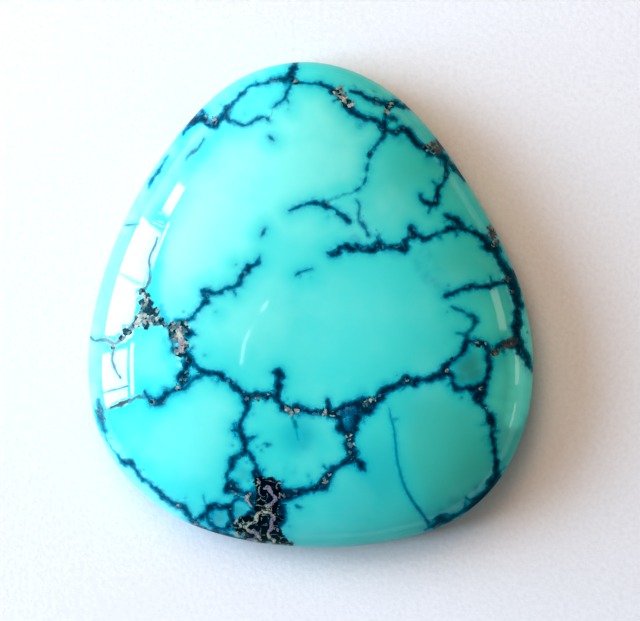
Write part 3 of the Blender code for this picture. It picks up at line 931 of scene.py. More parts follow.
@dataclass
class MatrixWeb:
    """The web of matrix in the stone: drawn veins, made ragged, their beads and twigs, and patches.

    The drawing grid has its x to the right and its y down the face, and its middle lies over the
    origin. It is drawn as the eye sees the face from straight above, so what is nearer the eye is
    drawn a little larger.
    """

    cut: Cut
    middle: tuple[float, float] = (310.5, 304.5)
    step: float = 0.0674           # one grid step on the girdle's level
    eye_height: float = 300.0      # the eye over the girdle's top
    stride: float = 0.12           # length of a stroke along a vein
    fewest: int = 4                # places along even the shortest vein
    thinnest: float = 0.03         # the least half width that a vein is drawn with
    wander: tuple[tuple[float, float], ...] = ((0.6, 0.07), (0.25, 0.035))   # bump size, sideways reach
    width_change: float = 0.35     # how much each side swells and thins, as a part of the half width
    swell_size: float = 0.3        # lattice spacing of the swelling along each side
    lump_size: float = 0.22        # lattice spacing of the lumps along each side
    lump_height: float = 0.26      # the tallest that a lump could stand out,
    lump_over: float = 0.08        # or this much over the half width where that is less
    twig_every: float = 4.4        # mean distance between twigs along a vein
    twig_length: tuple[float, float] = (0.16, 0.42)
    twig_turn: tuple[float, float] = (40.0, 100.0)   # degrees from the vein's heading
    twig_half: tuple[float, float] = (0.06, 0.11)    # the least and the most half width at its root
    twig_share: float = 0.7        # its half width as a part of the vein's
    twig_taper: float = 0.6        # how much of it is left at the tip
    twig_tone: float = 0.9
    fleck_every: float = 3.0       # specks that lie loose beside a vein
    fleck_radius: tuple[float, float] = (0.03, 0.065)
    fleck_gap: tuple[float, float] = (0.15, 0.7)     # from the vein's edge to the fleck's middle
    fleck_tone: float = 0.7
    ground_share: float = 0.58     # the dark ground under a cluster's spot, as a part of its radius
    tight_fade: tuple[float, float] = (1.45, 0.45)   # parts of a spot's radius: none there, full here
    wide_fade: tuple[float, float] = (1.6, 0.2)      # the same for clouds and smudges
    far: float = 2.1               # past this the veins aren't worked out,
    seam_far: float = 0.5          # and past this the seams
    at_once: int = 24              # strokes worked out together
    seed: int = 11
    random: np.random.Generator = field(init=False)

    def __post_init__(self) -> None:
        """Start the one generator that every random draw of the web comes from."""
        self.random = np.random.default_rng(self.seed)

    def on_face(self, drawn: np.ndarray) -> np.ndarray:
        """Carry places from the drawing grid to the face, in millimetres.

        A place at height h over the girdle is drawn eye / (eye - h) times as far out, so its
        distance out is found by dividing by that, with the height that the last guess gave.

        Args:
            drawn: one row a place, x and y on the grid.

        Returns:
            One row a place, x and y in millimetres.
        """
        flat = (drawn - np.array(self.middle)) * np.array((self.step, -self.step))
        place = flat
        for _ in range(3):
            above = self.cut.dome_height(place) - self.cut.girdle_top
            place = flat * (1.0 - above / self.eye_height)[:, None]
        return place

    def course(self, vein: Vein) -> tuple[np.ndarray, np.ndarray]:
        """Run a smooth curve through a vein's stops, let it wander, and give each side its own lumps.

        A side stands off by the half width, times one plus a noise, plus the square of the upper half
        of another noise. The stroke runs midway between the two sides.

        Args:
            vein: the drawn vein.

        Returns:
            Places along it in millimetres, and the half width at each.
        """
        stops = np.array(vein.stops)
        line = np.column_stack((self.on_face(stops[:, :2]), stops[:, 2] * self.step / 2.0))
        length = np.linalg.norm(np.diff(line[:, :2], axis=0), axis=1).sum()
        line = smooth_curve(line, max(int(length / self.stride), self.fewest), closed=False)
        place, half = line[:, :2], np.maximum(line[:, 2], self.thinnest)
        drift = np.zeros_like(place)
        for number, (bump, reach) in enumerate(self.wander):
            for axis in (0, 1):
                pattern = self.seed + Seed.WANDER + 10 * number + axis
                drift[:, axis] += reach * value_noise(place, bump, pattern)
        place = place + vein.ragged * drift
        along = np.gradient(place, axis=0)
        sideways = np.column_stack((-along[:, 1], along[:, 0])) / np.linalg.norm(along, axis=1)[:, None]
        swelling = half * self.width_change * vein.ragged
        tallest = vein.ragged * np.minimum(self.lump_height, half + self.lump_over)
        left, right = (
            swelling * value_noise(place, self.swell_size, self.seed + Seed.SWELL + side)
            + tallest * np.maximum(
                value_noise(place, self.lump_size, self.seed + Seed.LUMP + side), 0.0) ** 2
            for side in (0, 1)
        )
        return place + sideways * ((left - right) / 2.0)[:, None], half + (left + right) / 2.0

    def beside(self, place: np.ndarray, half: np.ndarray, every: float) -> tuple[np.ndarray, ...]:
        """Pick random places along a vein, one for each `every` millimetres on average.

        Args:
            place: places along the vein.
            half: its half width at each.
            every: the mean distance between picks.

        Returns:
            For each pick its place, its half width, the heading there, and a side of -1 or 1.
        """
        length = np.linalg.norm(np.diff(place, axis=0), axis=1).sum()
        count = self.random.poisson(length / every)
        at = self.random.integers(0, len(place) - 1, count)
        along = place[at + 1] - place[at]
        heading = np.arctan2(along[:, 1], along[:, 0])
        return place[at], half[at], heading, self.random.choice((-1.0, 1.0), count)

    def trimmings(self, place: np.ndarray, half: np.ndarray, vein: Vein) -> list[Strokes]:
        """Set twigs and loose flecks along a vein.

        A twig leaves at a wide angle and thins out. A fleck lies a little way off.

        Args:
            place: places along the vein.
            half: its half width at each.
            vein: the drawn vein.

        Returns:
            The strokes of each kind.
        """
        made = []
        root, wide, heading, side = self.beside(place, half, self.twig_every / vein.ragged)
        turn = heading + side * np.radians(self.random.uniform(*self.twig_turn, len(wide)))
        length = wide + self.random.uniform(*self.twig_length, len(wide))
        tip = root + length[:, None] * np.column_stack((np.cos(turn), np.sin(turn)))
        stem = np.clip(self.twig_share * wide, *self.twig_half)
        tone = np.full(len(wide), self.twig_tone * vein.tone)
        made.append(Strokes(root, tip, stem, self.twig_taper * stem, tone))

        root, wide, heading, side = self.beside(place, half, self.fleck_every / vein.ragged)
        sideways = np.column_stack((-np.sin(heading), np.cos(heading))) * side[:, None]
        centre = root + sideways * (wide + self.random.uniform(*self.fleck_gap, len(wide)))[:, None]
        radius = self.random.uniform(*self.fleck_radius, len(wide))
        tone = np.full(len(wide), self.fleck_tone * vein.tone)
        made.append(Strokes(centre, centre, radius, radius, tone))
        return made

    def spots(self, patch: Patch) -> tuple[np.ndarray, np.ndarray]:
        """Return a patch's spots in millimetres: their centres and radii."""
        drawn = np.array(patch.spots)
        return self.on_face(drawn[:, :2]), drawn[:, 2] * self.step

    def dark_strokes(self) -> list[Strokes]:
        """Draw every vein with its trimmings, and the dark ground of the clusters.

        Returns:
            The strokes, one group for each vein, trimming and cluster.
        """
        made = []
        for vein in VEINS:
            place, half = self.course(vein)
            tone = np.full(len(place) - 1, vein.tone)
            made.append(Strokes(place[:-1], place[1:], half[:-1], half[1:], tone))
            made += self.trimmings(place, half, vein)
            LOG.debug("vein %s: %d strokes", vein.name, len(tone))
        for patch in PATCHES:
            if patch.fill in (Fill.GRIT, Fill.PITCH):
                centre, radius = self.spots(patch)
                ground = self.ground_share * radius
                made.append(Strokes(centre, centre, ground, ground, np.full(len(radius), patch.tone)))
        return made

    def seam_strokes(self) -> list[Strokes]:
        """Draw the tan seams.

        Returns:
            The strokes, one group for each seam.
        """
        made = []
        for seam in SEAMS:
            place, half = self.course(seam)
            tone = np.ones(len(place) - 1)
            made.append(Strokes(place[:-1], place[1:], half[:-1], half[1:], tone))
            LOG.debug("seam %s: %d strokes", seam.name, len(tone))
        return made

    def field_of(self, groups: list[Strokes], flat: np.ndarray, far: float) -> Field:
        """Work out how far the strokes are from each place.

        Args:
            groups: the strokes, in groups whose neighbours lie close together.
            flat: one row a place, x and y in millimetres.
            far: how far out they are worked out.

        Returns:
            The field.
        """
        found = Field.empty(len(flat), far)
        for group in groups:
            for first in range(0, len(group.tone), self.at_once):
                found.lower(flat, group.part(first, self.at_once), far)
        return found

    def level(self, kind: Fill | Cloud, flat: np.ndarray) -> np.ndarray:
        """Work out how strongly a fill or a cloud shows at each place.

        It is full inside its spots and fades out past their edge, over a wide stretch for a cloud or
        a smudge.

        Args:
            kind: the fill or cloud.
            flat: one row a place, x and y in millimetres.

        Returns:
            One level a place, from 0 to 1.
        """
        is_wide = isinstance(kind, Cloud) or kind is Fill.SMUDGE
        outer, inner = self.wide_fade if is_wide else self.tight_fade
        level = np.zeros(len(flat))
        for patch in (one for one in PATCHES + CLOUDS if one.fill is kind):
            centre, radius = self.spots(patch)
            out = np.linalg.norm(flat[:, None] - centre, axis=2) / radius
            level = np.maximum(level, patch.tone * smooth_step(out, outer, inner).max(axis=1))
            LOG.debug("%s %s: %d spots", kind.value, patch.name, len(radius))
        return level


# ---------------------------------------------------------------- finishes

PER_MM = 1000.0          # Object coordinates are metres; patterns are set out per millimetre
COLOUR_A, COLOUR_B, MIXED = 6, 7, 2    # a colour Mix node's sockets


@dataclass(frozen=True)
class PolishedTurquoise:
    """Turquoise, ground on wheels and polished to a gloss; its matrix takes a duller polish.

    The body is waxy and nearly opaque, so it gets a shallow scatter and a tight clear highlight, and
    only its low edge is satin. Its blue drifts with what is in the pores: chalky, deep or dusky. It is
    greener and darker over the cells on the right. Pale green along the rim away from the window is
    painted rim light, and the whitish band along the lit edges is painted glare. The matrix is limonite
    and dark host rock: it looks navy to black in the veins, brown in the fine cracks at one side, teal
    where turquoise thins over it, and shows tan, grey and white grains in the clusters.
    """

    body: str = "30b5ad"
    chalky: str = "5ec1b5"
    deep: str = "129a9f"
    green: str = "3aab9c"
    # painted rim light: the pale green along the rim away from the window
    pale: str = "5aeadb"
    dusky: str = "237874"
    # painted glare: the whitish band along the edges that face the window
    milky: str = "98e0da"
    limonite: str = "2f3023"
    halo: str = "0a8598"
    vein_rim: str = "08788f"
    vein_core: str = "043f55"
    vein_heart: str = "031f2e"
    black: str = "02080e"
    speck: str = "3f6877"
    seam_mauve: str = "766f7d"
    seam_cream: str = "9a9a84"
    rust: str = "4d3e3a"
    deep_blue: str = "0e4a69"
    grains: tuple[tuple[float, str], ...] = (   # where each colour of grain lies in the run of them
        (0.0, "041620"), (0.26, "0c2a34"), (0.40, "22464c"), (0.52, "4c5759"), (0.62, "36605e"),
        (0.74, "666962"), (0.88, "7c7f74"), (1.0, "9a9d90"),
    )
    ior: float = 1.6               # turquoise is 1.61 to 1.65; its wax dressing is lower
    gloss: float = 0.055
    body_specular: float = 0.5     # as the index of refraction gives it
    matrix_roughness: float = 0.5
    matrix_specular: float = 0.05  # its pits trap most of what a polished skin would mirror
    girdle_roughness: float = 0.3  # the wheel leaves the low edge satin
    girdle_specular: float = 0.12
    girdle_heights: tuple[float, float] = (3.75, 3.1)   # where the polish starts to fade, and is gone
    scatter_weight: float = 0.1
    scatter_depth: float = 0.0005  # metres
    scatter_reach: tuple[float, float, float] = (0.3, 1.0, 1.0)   # red light is swallowed soonest
    grain_relief: float = 0.00004  # metres
    relief_strength: float = 0.4
    grains_per_mm: float = 5.0     # grit of about 0.2 mm
    grain_dark: float = 0.28       # how far the run of grains is moved to its dark end
    grain_clouding: float = 0.55   # how far a fine noise moves it back
    cells_per_mm: float = 1.5      # the great knot's lumps, with clay in the lines between them
    close_by: float = 0.07         # within this of an edge the distance is worked out anew
    steady_halves: tuple[float, float] = (0.04, 0.16)   # half widths of a vein that stays steady, and not
    steady_least: float = 0.25
    jags: tuple[tuple[float, float], ...] = ((2.2, 0.24), (5.0, 0.15))   # bumps per mm, their reach

    def jagged_gap(self, tree: Tree, place: Socket, layer: str) -> Socket:
        """Build the distance to the edge of the nearest stroke, in millimetres, made ragged.

        Close by, the distance is the length of its reach less its half width, which stays sharp
        between vertices; further off the stored gap holds. Two noises then push the edge about, and
        less so on a thin stroke.

        Args:
            tree: the material's nodes.
            place: the place on the stone in millimetres.
            layer: the start of the attributes' names.

        Returns:
            The distance, below 0 inside a stroke.
        """
        gap, reach, half = (
            add(tree, "Attribute", {"attribute_name": layer + name}).outputs[output]
            for name, output in (("_gap", "Fac"), ("_reach", "Vector"), ("_half", "Fac"))
        )
        length = add(tree, "VectorMath", {"operation": "LENGTH"}, {0: reach}).outputs["Value"]
        close = add(tree, "Math", {"operation": "SUBTRACT"}, {0: length, 1: half}).outputs[0]
        is_close = add(tree, "Math", {"operation": "LESS_THAN"}, {0: gap, 1: self.close_by}).outputs[0]
        edge = add(tree, "Mix", {}, {0: is_close, 2: gap, 3: close}).outputs[0]
        thin, wide = self.steady_halves
        steady = add(tree, "MapRange", {}, {
            "Value": half, "From Min": thin, "From Max": wide, "To Min": self.steady_least,
            "To Max": 1.0}).outputs[0]
        for scale, push in self.jags:
            noise = add(tree, "TexNoise", {}, {
                "Vector": place, "Scale": scale, "Detail": 1.0, "Roughness": 0.5}).outputs[0]
            centred = add(tree, "Math", {"operation": "SUBTRACT"}, {0: noise, 1: 0.5}).outputs[0]
            scaled = add(tree, "Math", {"operation": "MULTIPLY"}, {0: centred, 1: steady}).outputs[0]
            edge = add(tree, "Math", {"operation": "MULTIPLY_ADD"}, {
                0: scaled, 1: push, 2: edge}).outputs[0]
        return edge

    def grit_grains(self, tree: Tree, place: Socket, fine: Socket) -> tuple[Socket, Socket]:
        """Build the clusters' grains: cells that each take a colour of the run at random.

        Args:
            tree: the material's nodes.
            place: the place on the stone in millimetres.
            fine: a fine noise, which clouds each grain's colour.

        Returns:
            The grains' colour, and a second random value for each cell.
        """
        cells = add(tree, "TexVoronoi", {}, {
            "Vector": place, "Scale": self.grains_per_mm, "Randomness": 1.0})
        pick = add(tree, "SeparateColor", {}, {0: cells.outputs["Color"]}).outputs
        base = add(tree, "Math", {"operation": "SUBTRACT"}, {0: pick[0], 1: self.grain_dark}).outputs[0]
        run = add(tree, "Math", {"operation": "MULTIPLY_ADD"}, {
            0: fine, 1: self.grain_clouding, 2: base}).outputs[0]
        coloured = add(tree, "ValToRGB", {}, {0: run})
        elements = coloured.color_ramp.elements
        while len(elements) < len(self.grains):
            elements.new(0.5)
        for element, (share, colour) in zip(elements, self.grains):
            element.position = share
            element.color = linear(colour)
        return coloured.outputs[0], pick[1]

    def material(self) -> bpy.types.Material:
        """Build the stone's material.

        Its colour is the body's, with one layer after another laid over it by a mask each.

        Returns:
            The material; it reads Object coordinates and the web's attributes.
        """
        material, tree, shader = blank_material("polished_turquoise")
        own = add(tree, "TexCoord").outputs["Object"]
        place = add(tree, "VectorMath", {"operation": "SCALE"}, {0: own, "Scale": PER_MM}).outputs[0]
        edge = self.jagged_gap(tree, place, "web")
        seam_edge = self.jagged_gap(tree, place, "seam")
        gap, tone, *stored_values = (
            add(tree, "Attribute", {"attribute_name": name}).outputs["Fac"]
            for name in ("web_gap", "web_tone", *(kind.value for kind in (*Fill, *Cloud)))
        )
        stored = dict(zip((*Fill, *Cloud), stored_values))

        # Noises, by bumps per millimetre: clouds in the body, and the breaking up of the matrix.
        noises = {
            name: add(tree, "TexNoise", {}, {
                "Vector": place, "Scale": scale, "Detail": detail, "Roughness": 0.55}).outputs[0]
            for name, scale, detail in (
                ("clouds", 0.22, 3.0), ("mottle", 0.9, 2.0), ("breakup", 3.4, 3.0), ("fine", 9.0, 2.0),
            )
        }
        grain_colour, grain_pick = self.grit_grains(tree, place, noises["fine"])

        # A mask's two limits are millimetres from an edge, or levels of a noise or of an attribute.
        def mask(source: Socket, low: float, high: float, share: Socket | float = 1.0) -> Socket:
            """Ease a source from nothing to full, times a share.

            Args:
                source: what is eased.
                low: where the mask is 0.
                high: where it is full; it may be below `low`.
                share: how strong it is when full.

            Returns:
                The mask.
            """
            eased = add(tree, "MapRange", {"interpolation_type": "SMOOTHSTEP"}, {
                "Value": source, "From Min": low, "From Max": high}).outputs[0]
            return add(tree, "Math", {"operation": "MULTIPLY"}, {0: eased, 1: share}).outputs[0]

        # The body: chalky and green clouds, which stop short of the web.
        cloudy = mask(noises["clouds"], 0.25, 0.75)
        chalky = mask(gap, 0.1, 1.4, mask(stored[Cloud.CHALKY], 0.0, 1.0))
        chalky = mask(noises["clouds"], 0.1, 0.6, chalky)
        green = mask(gap, 0.0, 1.5, stored[Cloud.GREEN])
        near_web = mask(gap, 0.7, 0.05, mask(tone, 0.4, 1.0, 0.37))
        smudge = mask(noises["mottle"], 0.2, 0.8, mask(stored[Fill.SMUDGE], 0.0, 1.0, 0.55))

        # The veins, from the halo outside their edge to the heart.
        halo = mask(edge, 0.3, 0.02, mask(noises["breakup"], 0.3, 0.62, mask(tone, 0.2, 1.0, 0.6)))
        rim = mask(edge, 0.09, -0.04, tone)
        core = mask(edge, 0.01, -0.13, tone)
        heart = mask(edge, -0.10, -0.23, mask(noises["breakup"], 0.3, 0.5, tone))
        speckled = mask(noises["mottle"], 0.5, 0.62, mask(core, 0.0, 1.0, 0.7))
        specks = mask(grain_pick, 0.66, 0.82, speckled)

        # The clusters, with broken edges.
        broken = (
            add(tree, "Math", {"operation": "MULTIPLY_ADD"}, {
                0: noises["breakup"], 1: 1.6, 2: stored[kind]})
            for kind in (Fill.GRIT, Fill.PITCH, Fill.BLUE, Fill.RUST)
        )
        grit, pitch, blue, rust = (mask(node.outputs[0], 1.23, 1.43) for node in broken)

        # Clay: a net of thin lines between the lumps of pitch, and the drawn seams.
        cells = add(tree, "TexVoronoi", {"feature": "DISTANCE_TO_EDGE"}, {
            "Vector": place, "Scale": self.cells_per_mm, "Randomness": 1.0}).outputs["Distance"]
        frayed = add(tree, "Math", {"operation": "MULTIPLY_ADD"}, {
            0: noises["fine"], 1: 0.3, 2: cells}).outputs[0]
        net = mask(frayed, 0.225, 0.165, mask(noises["breakup"], 0.44, 0.58, pitch))
        seam = mask(seam_edge, 0.05, -0.05, mask(noises["fine"], 0.34, 0.5))
        clay = add(tree, "Mix", {"data_type": "RGBA"}, {
            0: mask(noises["mottle"], 0.42, 0.58), COLOUR_A: linear(self.seam_mauve),
            COLOUR_B: linear(self.seam_cream)}).outputs[MIXED]

        shade: Socket | tuple[float, ...] = linear(self.body)
        for share, colour in (
            (mask(cloudy, 0.4, 1.0, 0.35), self.chalky),
            (green, self.green),
            # Painted rim light along the rim away from the window.
            (mask(stored[Cloud.PALE], 0.0, 1.0), self.pale),
            # Painted glare along the edges that face the window.
            (mask(stored[Cloud.MILKY], 0.0, 1.0), self.milky),
            (mask(stored[Cloud.DEEP], 0.0, 1.0), self.deep),
            (mask(stored[Cloud.DUSKY], 0.0, 1.0), self.dusky),
            (near_web, self.deep),
            (chalky, self.chalky),
            (smudge, self.halo),
            (halo, self.halo),
            (rim, self.vein_rim),
            (core, self.vein_core),
            (heart, self.vein_heart),
            (mask(stored[Cloud.LIMONITE], 0.1, 0.7, rim), self.limonite),
            (specks, self.speck),
            (pitch, self.black),
            (mask(noises["fine"], 0.2, 0.6, mask(blue, 0.0, 1.0, 0.8)), self.deep_blue),
            (grit, grain_colour),
            (mask(noises["fine"], 0.2, 0.65, mask(rust, 0.0, 1.0, 0.85)), self.rust),
            (mask(net, 0.0, 1.0, 0.6), clay),
            (seam, clay),
        ):
            above = linear(colour) if isinstance(colour, str) else colour
            shade = add(tree, "Mix", {"data_type": "RGBA"}, {
                0: share, COLOUR_A: shade, COLOUR_B: above}).outputs[MIXED]
        tree.links.new(shade, shader.inputs["Base Color"])

        matrix = add(tree, "Math", {"operation": "MAXIMUM"}, {0: rim, 1: grit}).outputs[0]
        level = add(tree, "SeparateXYZ", {}, {0: place}).outputs["Z"]
        self.polish(tree, shader, matrix, mask(level, *self.girdle_heights), noises["fine"])
        return material

    def polish(self, tree: Tree, shader: bpy.types.Node, matrix: Socket, low: Socket, fine: Socket) -> None:
        """Set how the skin shines: glossy on the face, satin low down, dull and grainy on the matrix.

        Args:
            tree: the material's nodes.
            shader: the Principled shader.
            matrix: 1 on matrix and 0 on the body.
            low: 1 under the satin edge's height and 0 over it.
            fine: a fine noise, for the grain.
        """
        for socket, polished, satin, dull in (
            ("Roughness", self.gloss, self.girdle_roughness, self.matrix_roughness),
            ("Specular IOR Level", self.body_specular, self.girdle_specular, self.matrix_specular),
        ):
            body = add(tree, "Mix", {}, {0: low, 2: polished, 3: satin}).outputs[0]
            both = add(tree, "Mix", {}, {0: matrix, 2: body, 3: dull}).outputs[0]
            tree.links.new(both, shader.inputs[socket])

        # The matrix is softer than the body, so polishing leaves its grains and pits standing.
        height = add(tree, "Math", {"operation": "MULTIPLY"}, {0: matrix, 1: fine}).outputs[0]
        bump = add(tree, "Bump", {}, {
            "Strength": self.relief_strength, "Distance": self.grain_relief, "Height": height})
        tree.links.new(bump.outputs[0], shader.inputs["Normal"])

        shader.inputs["IOR"].default_value = self.ior
        shader.inputs["Subsurface Weight"].default_value = self.scatter_weight
        shader.inputs["Subsurface Radius"].default_value = self.scatter_reach
        shader.inputs["Subsurface Scale"].default_value = self.scatter_depth


@dataclass(frozen=True)
class WhitePaper:
    """Uncoated white paper: matt, with a faint mottled tooth."""

    light: str = "c8c7c6"
    dark: str = "c0c0c0"
    roughness: float = 0.9
    tooth_per_mm: float = 3.2      # fibres are finer; this is as coarse as it needs to show
    tooth_depth: float = 0.00008   # metres
    tooth_strength: float = 0.3
    tooth_levels: tuple[float, float] = (0.3, 0.62)   # of the noise: where it is dark, and light

    def material(self) -> bpy.types.Material:
        """Build the paper's material.

        Returns:
            The material; it reads Object coordinates.
        """
        material, tree, shader = blank_material("white_paper")
        own = add(tree, "TexCoord").outputs["Object"]
        place = add(tree, "VectorMath", {"operation": "SCALE"}, {0: own, "Scale": PER_MM}).outputs[0]
        tooth = add(tree, "TexNoise", {}, {
            "Vector": place, "Scale": self.tooth_per_mm, "Detail": 3.0, "Roughness": 0.6}).outputs[0]
        dark, light = self.tooth_levels
        clear = add(tree, "MapRange", {}, {"Value": tooth, "From Min": dark, "From Max": light}).outputs[0]
        shade = add(tree, "Mix", {"data_type": "RGBA"}, {
            0: clear, COLOUR_A: linear(self.dark), COLOUR_B: linear(self.light)}).outputs[MIXED]
        tree.links.new(shade, shader.inputs["Base Color"])
        bump = add(tree, "Bump", {}, {
            "Strength": self.tooth_strength, "Distance": self.tooth_depth, "Height": tooth})
        tree.links.new(bump.outputs[0], shader.inputs["Normal"])
        shader.inputs["Roughness"].default_value = self.roughness
        return material


# ---------------------------------------------------------------- the stone


@dataclass
class TurquoiseStone:
    """The stone itself: one closed surface with the web worked into it, and its finish."""

    cut: Cut
    web: MatrixWeb
    finish: PolishedTurquoise
    face_rings: int = 140          # even: the back has half as many
    lean: float = 0.62             # how far the web leans, per millimetre down through the stone
    lean_bump: float = 6.0         # size of the stretches that lean one way
    thinning: float = 0.36         # the most that a vein's half width loses deeper in the stone
    thinning_bump: float = 0.9     # size of the stretches where it does
    thinning_depth: float = 1.0    # how deep down the loss is in full
    vein_depth: float = 0.018      # polishing wears the softer matrix down
    vein_wear: tuple[float, float] = (0.04, -0.14)   # gaps at which the wear starts, and is full
    pit_depth: float = 0.05
    pit_size: float = 0.24
    seam_height: float = 0.03
    seam_rise: tuple[float, float] = (0.05, -0.05)   # gaps at which a seam starts to rise, and is full
    polish_wave: float = 0.012     # the face's faint unevenness under the polishing wheel
    wave_size: float = 2.6
    face_map: tuple[float, float] = (0.365, 0.36)   # centre along the diagonal, and radius, of its island
    back_map: tuple[float, float] = (0.785, 0.21)
    map_skirt: float = 1.012       # how far out the last band goes, next to the face on its island
    skin: float = 0.02             # within this of the face a place counts as on it

    def surface(self) -> tuple[np.ndarray, np.ndarray, np.ndarray]:
        """Work out the bare stone.

        The face sheet runs from the top of the dome over the girdle to the edge of the back; a
        coarser sheet closes the back. A band of triangles joins every vertex on the back's rim to
        two on the face sheet's.

        Returns:
            The places, one row a vertex; the faces; and each face's corners on the UV map.
        """
        face, back = Sheet(self.face_rings), Sheet(self.face_rings // 2)
        centre = np.array(self.cut.centre)
        ring, angle = face.places()
        part, rise, base = self.cut.profile(ring)
        height = base + (self.cut.thickness - self.cut.girdle_top) * rise * self.cut.uneven(angle, part)
        turned = np.column_stack((np.cos(angle), np.sin(angle)))
        reach = self.cut.reach(angle)
        places = np.column_stack((centre + turned * (reach * part)[:, None], height))

        edge_part = part.min(where=ring == 1.0, initial=1.0)
        back_ring, back_angle = back.places()
        back_turned = np.column_stack((np.cos(back_angle), np.sin(back_angle)))
        back_reach = self.cut.reach(back_angle)
        inset = 1.0 - 1.0 / self.face_rings
        back_part = back_ring * edge_part * inset
        back_places = np.column_stack((
            centre + back_turned * (back_reach * back_part)[:, None], np.zeros(len(back_part))))

        first_back = len(places)
        under = back.quads()[:, ::-1] + first_back
        upper, lower = face.edge(), back.edge() + first_back
        beside = np.roll(lower, -1)
        early, middle, late = upper[0::2], upper[1::2], np.roll(upper, -2)[0::2]
        gap = np.full(len(lower), -1)
        band = np.concatenate((
            np.column_stack((lower, middle, early, gap)),
            np.column_stack((lower, beside, middle, gap)),
            np.column_stack((beside, late, middle, gap)),
        ))
        faces = np.concatenate((face.quads(), under, band))

        out, back_out = reach / reach.max(), back_reach / reach.max()
        (middle_face, face_size), (middle_back, back_size) = self.face_map, self.back_map
        face_uv = middle_face + face_size * turned * (ring * out)[:, None]
        back_uv = middle_back + back_size * back_turned * (back_ring * back_out)[:, None]
        outside = middle_face + face_size * back_turned * (self.map_skirt * back_out)[:, None]
        by_vertex = np.concatenate((face_uv, back_uv))
        on_band = np.concatenate((face_uv, outside))
        corner_uv = np.concatenate((
            by_vertex[faces[:-len(band)]].reshape(-1, 2), on_band[band[:, :3]].reshape(-1, 2)))
        return np.concatenate((places, back_places)), faces, corner_uv

    def depth(self, places: np.ndarray) -> np.ndarray:
        """Return how deep under the face each place lies; 0 on the face itself."""
        under = self.cut.dome_height(places[:, :2]) - places[:, 2]
        return np.where(under < self.skin, 0.0, under)

    def leaned(self, places: np.ndarray) -> np.ndarray:
        """Find where on the face the web that shows at each place comes from.

        On the face it is the place itself. Deeper down the web has leaned sideways by the depth
        under the face times a slow noise, so that the girdle and the back show the same sheets of
        matrix, shifted.

        Args:
            places: one row a vertex.

        Returns:
            One row a vertex, x and y.
        """
        flat = places[:, :2]
        sideways = np.column_stack([
            value_noise(flat, self.lean_bump, self.web.seed + Seed.LEAN + axis) for axis in (0, 1)])
        return flat + sideways * (self.lean * self.depth(places))[:, None]

    def build(self) -> bpy.types.Object:
        """Make the stone's mesh, wear the web into it, and dress it.

        Returns:
            The finished piece.
        """
        places, faces, corner_uv = self.surface()
        flat = self.leaned(places)
        dark = self.web.field_of(self.web.dark_strokes(), flat, self.web.far)
        seams = self.web.field_of(self.web.seam_strokes(), flat, self.web.seam_far)
        patchy = 0.5 + 0.5 * value_noise(places, self.thinning_bump, self.web.seed + Seed.THINNING)
        dark.thin(self.thinning * smooth_step(self.depth(places), 0.0, self.thinning_depth) * patchy)
        levels = {kind: self.web.level(kind, flat) for kind in (*Fill, *Cloud)}
        piece = mesh_object("turquoise", places, faces)
        normals = np.zeros(len(places) * 3, dtype=np.float32)
        piece.data.vertices.foreach_get("normal", normals)

        grain = 0.5 + 0.5 * value_noise(places, self.pit_size, self.web.seed + Seed.PIT)
        worn = self.vein_depth * smooth_step(dark.gap, *self.vein_wear) * dark.tone
        worn += self.pit_depth * np.maximum(levels[Fill.GRIT], levels[Fill.PITCH]) * grain**2
        worn -= self.seam_height * smooth_step(seams.gap, *self.seam_rise)
        wave = self.polish_wave * value_noise(places, self.wave_size, self.web.seed + Seed.POLISH)
        on_face = smooth_step(places[:, 2], self.cut.bevel, self.cut.girdle_top)
        moved = places + normals.reshape(-1, 3) * (wave * on_face - np.maximum(worn, 0.0))[:, None]
        piece.data.vertices.foreach_set("co", (moved * MM).astype(np.float32).ravel())

        for layer, found in (("web", dark), ("seam", seams)):
            self.keep(piece.data, layer + "_gap", found.gap)
            self.keep(piece.data, layer + "_half", found.half)
            self.keep(piece.data, layer + "_reach", np.column_stack((found.reach, np.zeros(len(places)))))
        self.keep(piece.data, "web_tone", dark.tone)
        for kind, level in levels.items():
            self.keep(piece.data, kind.value, level)
        bake_map = piece.data.uv_layers.new(name="OFBake")
        bake_map.uv.foreach_set("vector", corner_uv.astype(np.float32).ravel())
        piece.data.update()
        piece.data.materials.append(self.finish.material())
        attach(piece, "root")
        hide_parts(NODE)
        return piece

    @staticmethod
    def keep(mesh: bpy.types.Mesh, name: str, values: np.ndarray) -> None:
        """Store a number, or a row of three, for each vertex.

        Args:
            mesh: the piece's mesh.
            name: the name that the finish reads it by.
            values: one value, or one row, for each vertex.
        """
        kind, part = ("FLOAT", "value") if values.ndim == 1 else ("FLOAT_VECTOR", "vector")
        kept = mesh.attributes.new(name, kind, "POINT")
        kept.data.foreach_set(part, values.astype(np.float32).ravel())


# ---------------------------------------------------------------- the studio


@dataclass(frozen=True)
class Tabletop:
    """The sheet that the stone lies on, wide enough to fill every view; it ends under the window."""

    half_width: float = 1800.0
    window_side: float = -325.0    # where it ends along X
    drop: float = 0.02             # just under the stone's back, so that the two don't coincide
    paper: WhitePaper = WhitePaper()

    def build(self) -> bpy.types.Object:
        """Make the flat sheet as a grid of four rectangles.

        Returns:
            The finished sheet.
        """
        line_x = np.linspace(self.window_side, self.half_width, 3)
        line_y = np.linspace(-self.half_width, self.half_width, 3)
        across, along = (axis.ravel() for axis in np.meshgrid(line_x, line_y, indexing="ij"))
        places = np.column_stack((across, along, np.full(len(across), -self.drop)))
        corner = np.array((0, 1, 3, 4))
        faces = np.column_stack((corner, corner + 3, corner + 4, corner + 1))
        sheet = mesh_object("tabletop", places, faces)
        sheet.data.materials.append(self.paper.material())
        return sheet


def direction(azimuth: float, elevation: float) -> Vector:
    """Return the unit vector towards an azimuth, from +X towards +Y, and an elevation, in degrees."""
    turn, rise = math.radians(azimuth), math.radians(elevation)
    return Vector((math.cos(rise) * math.cos(turn), math.cos(rise) * math.sin(turn), math.sin(rise)))


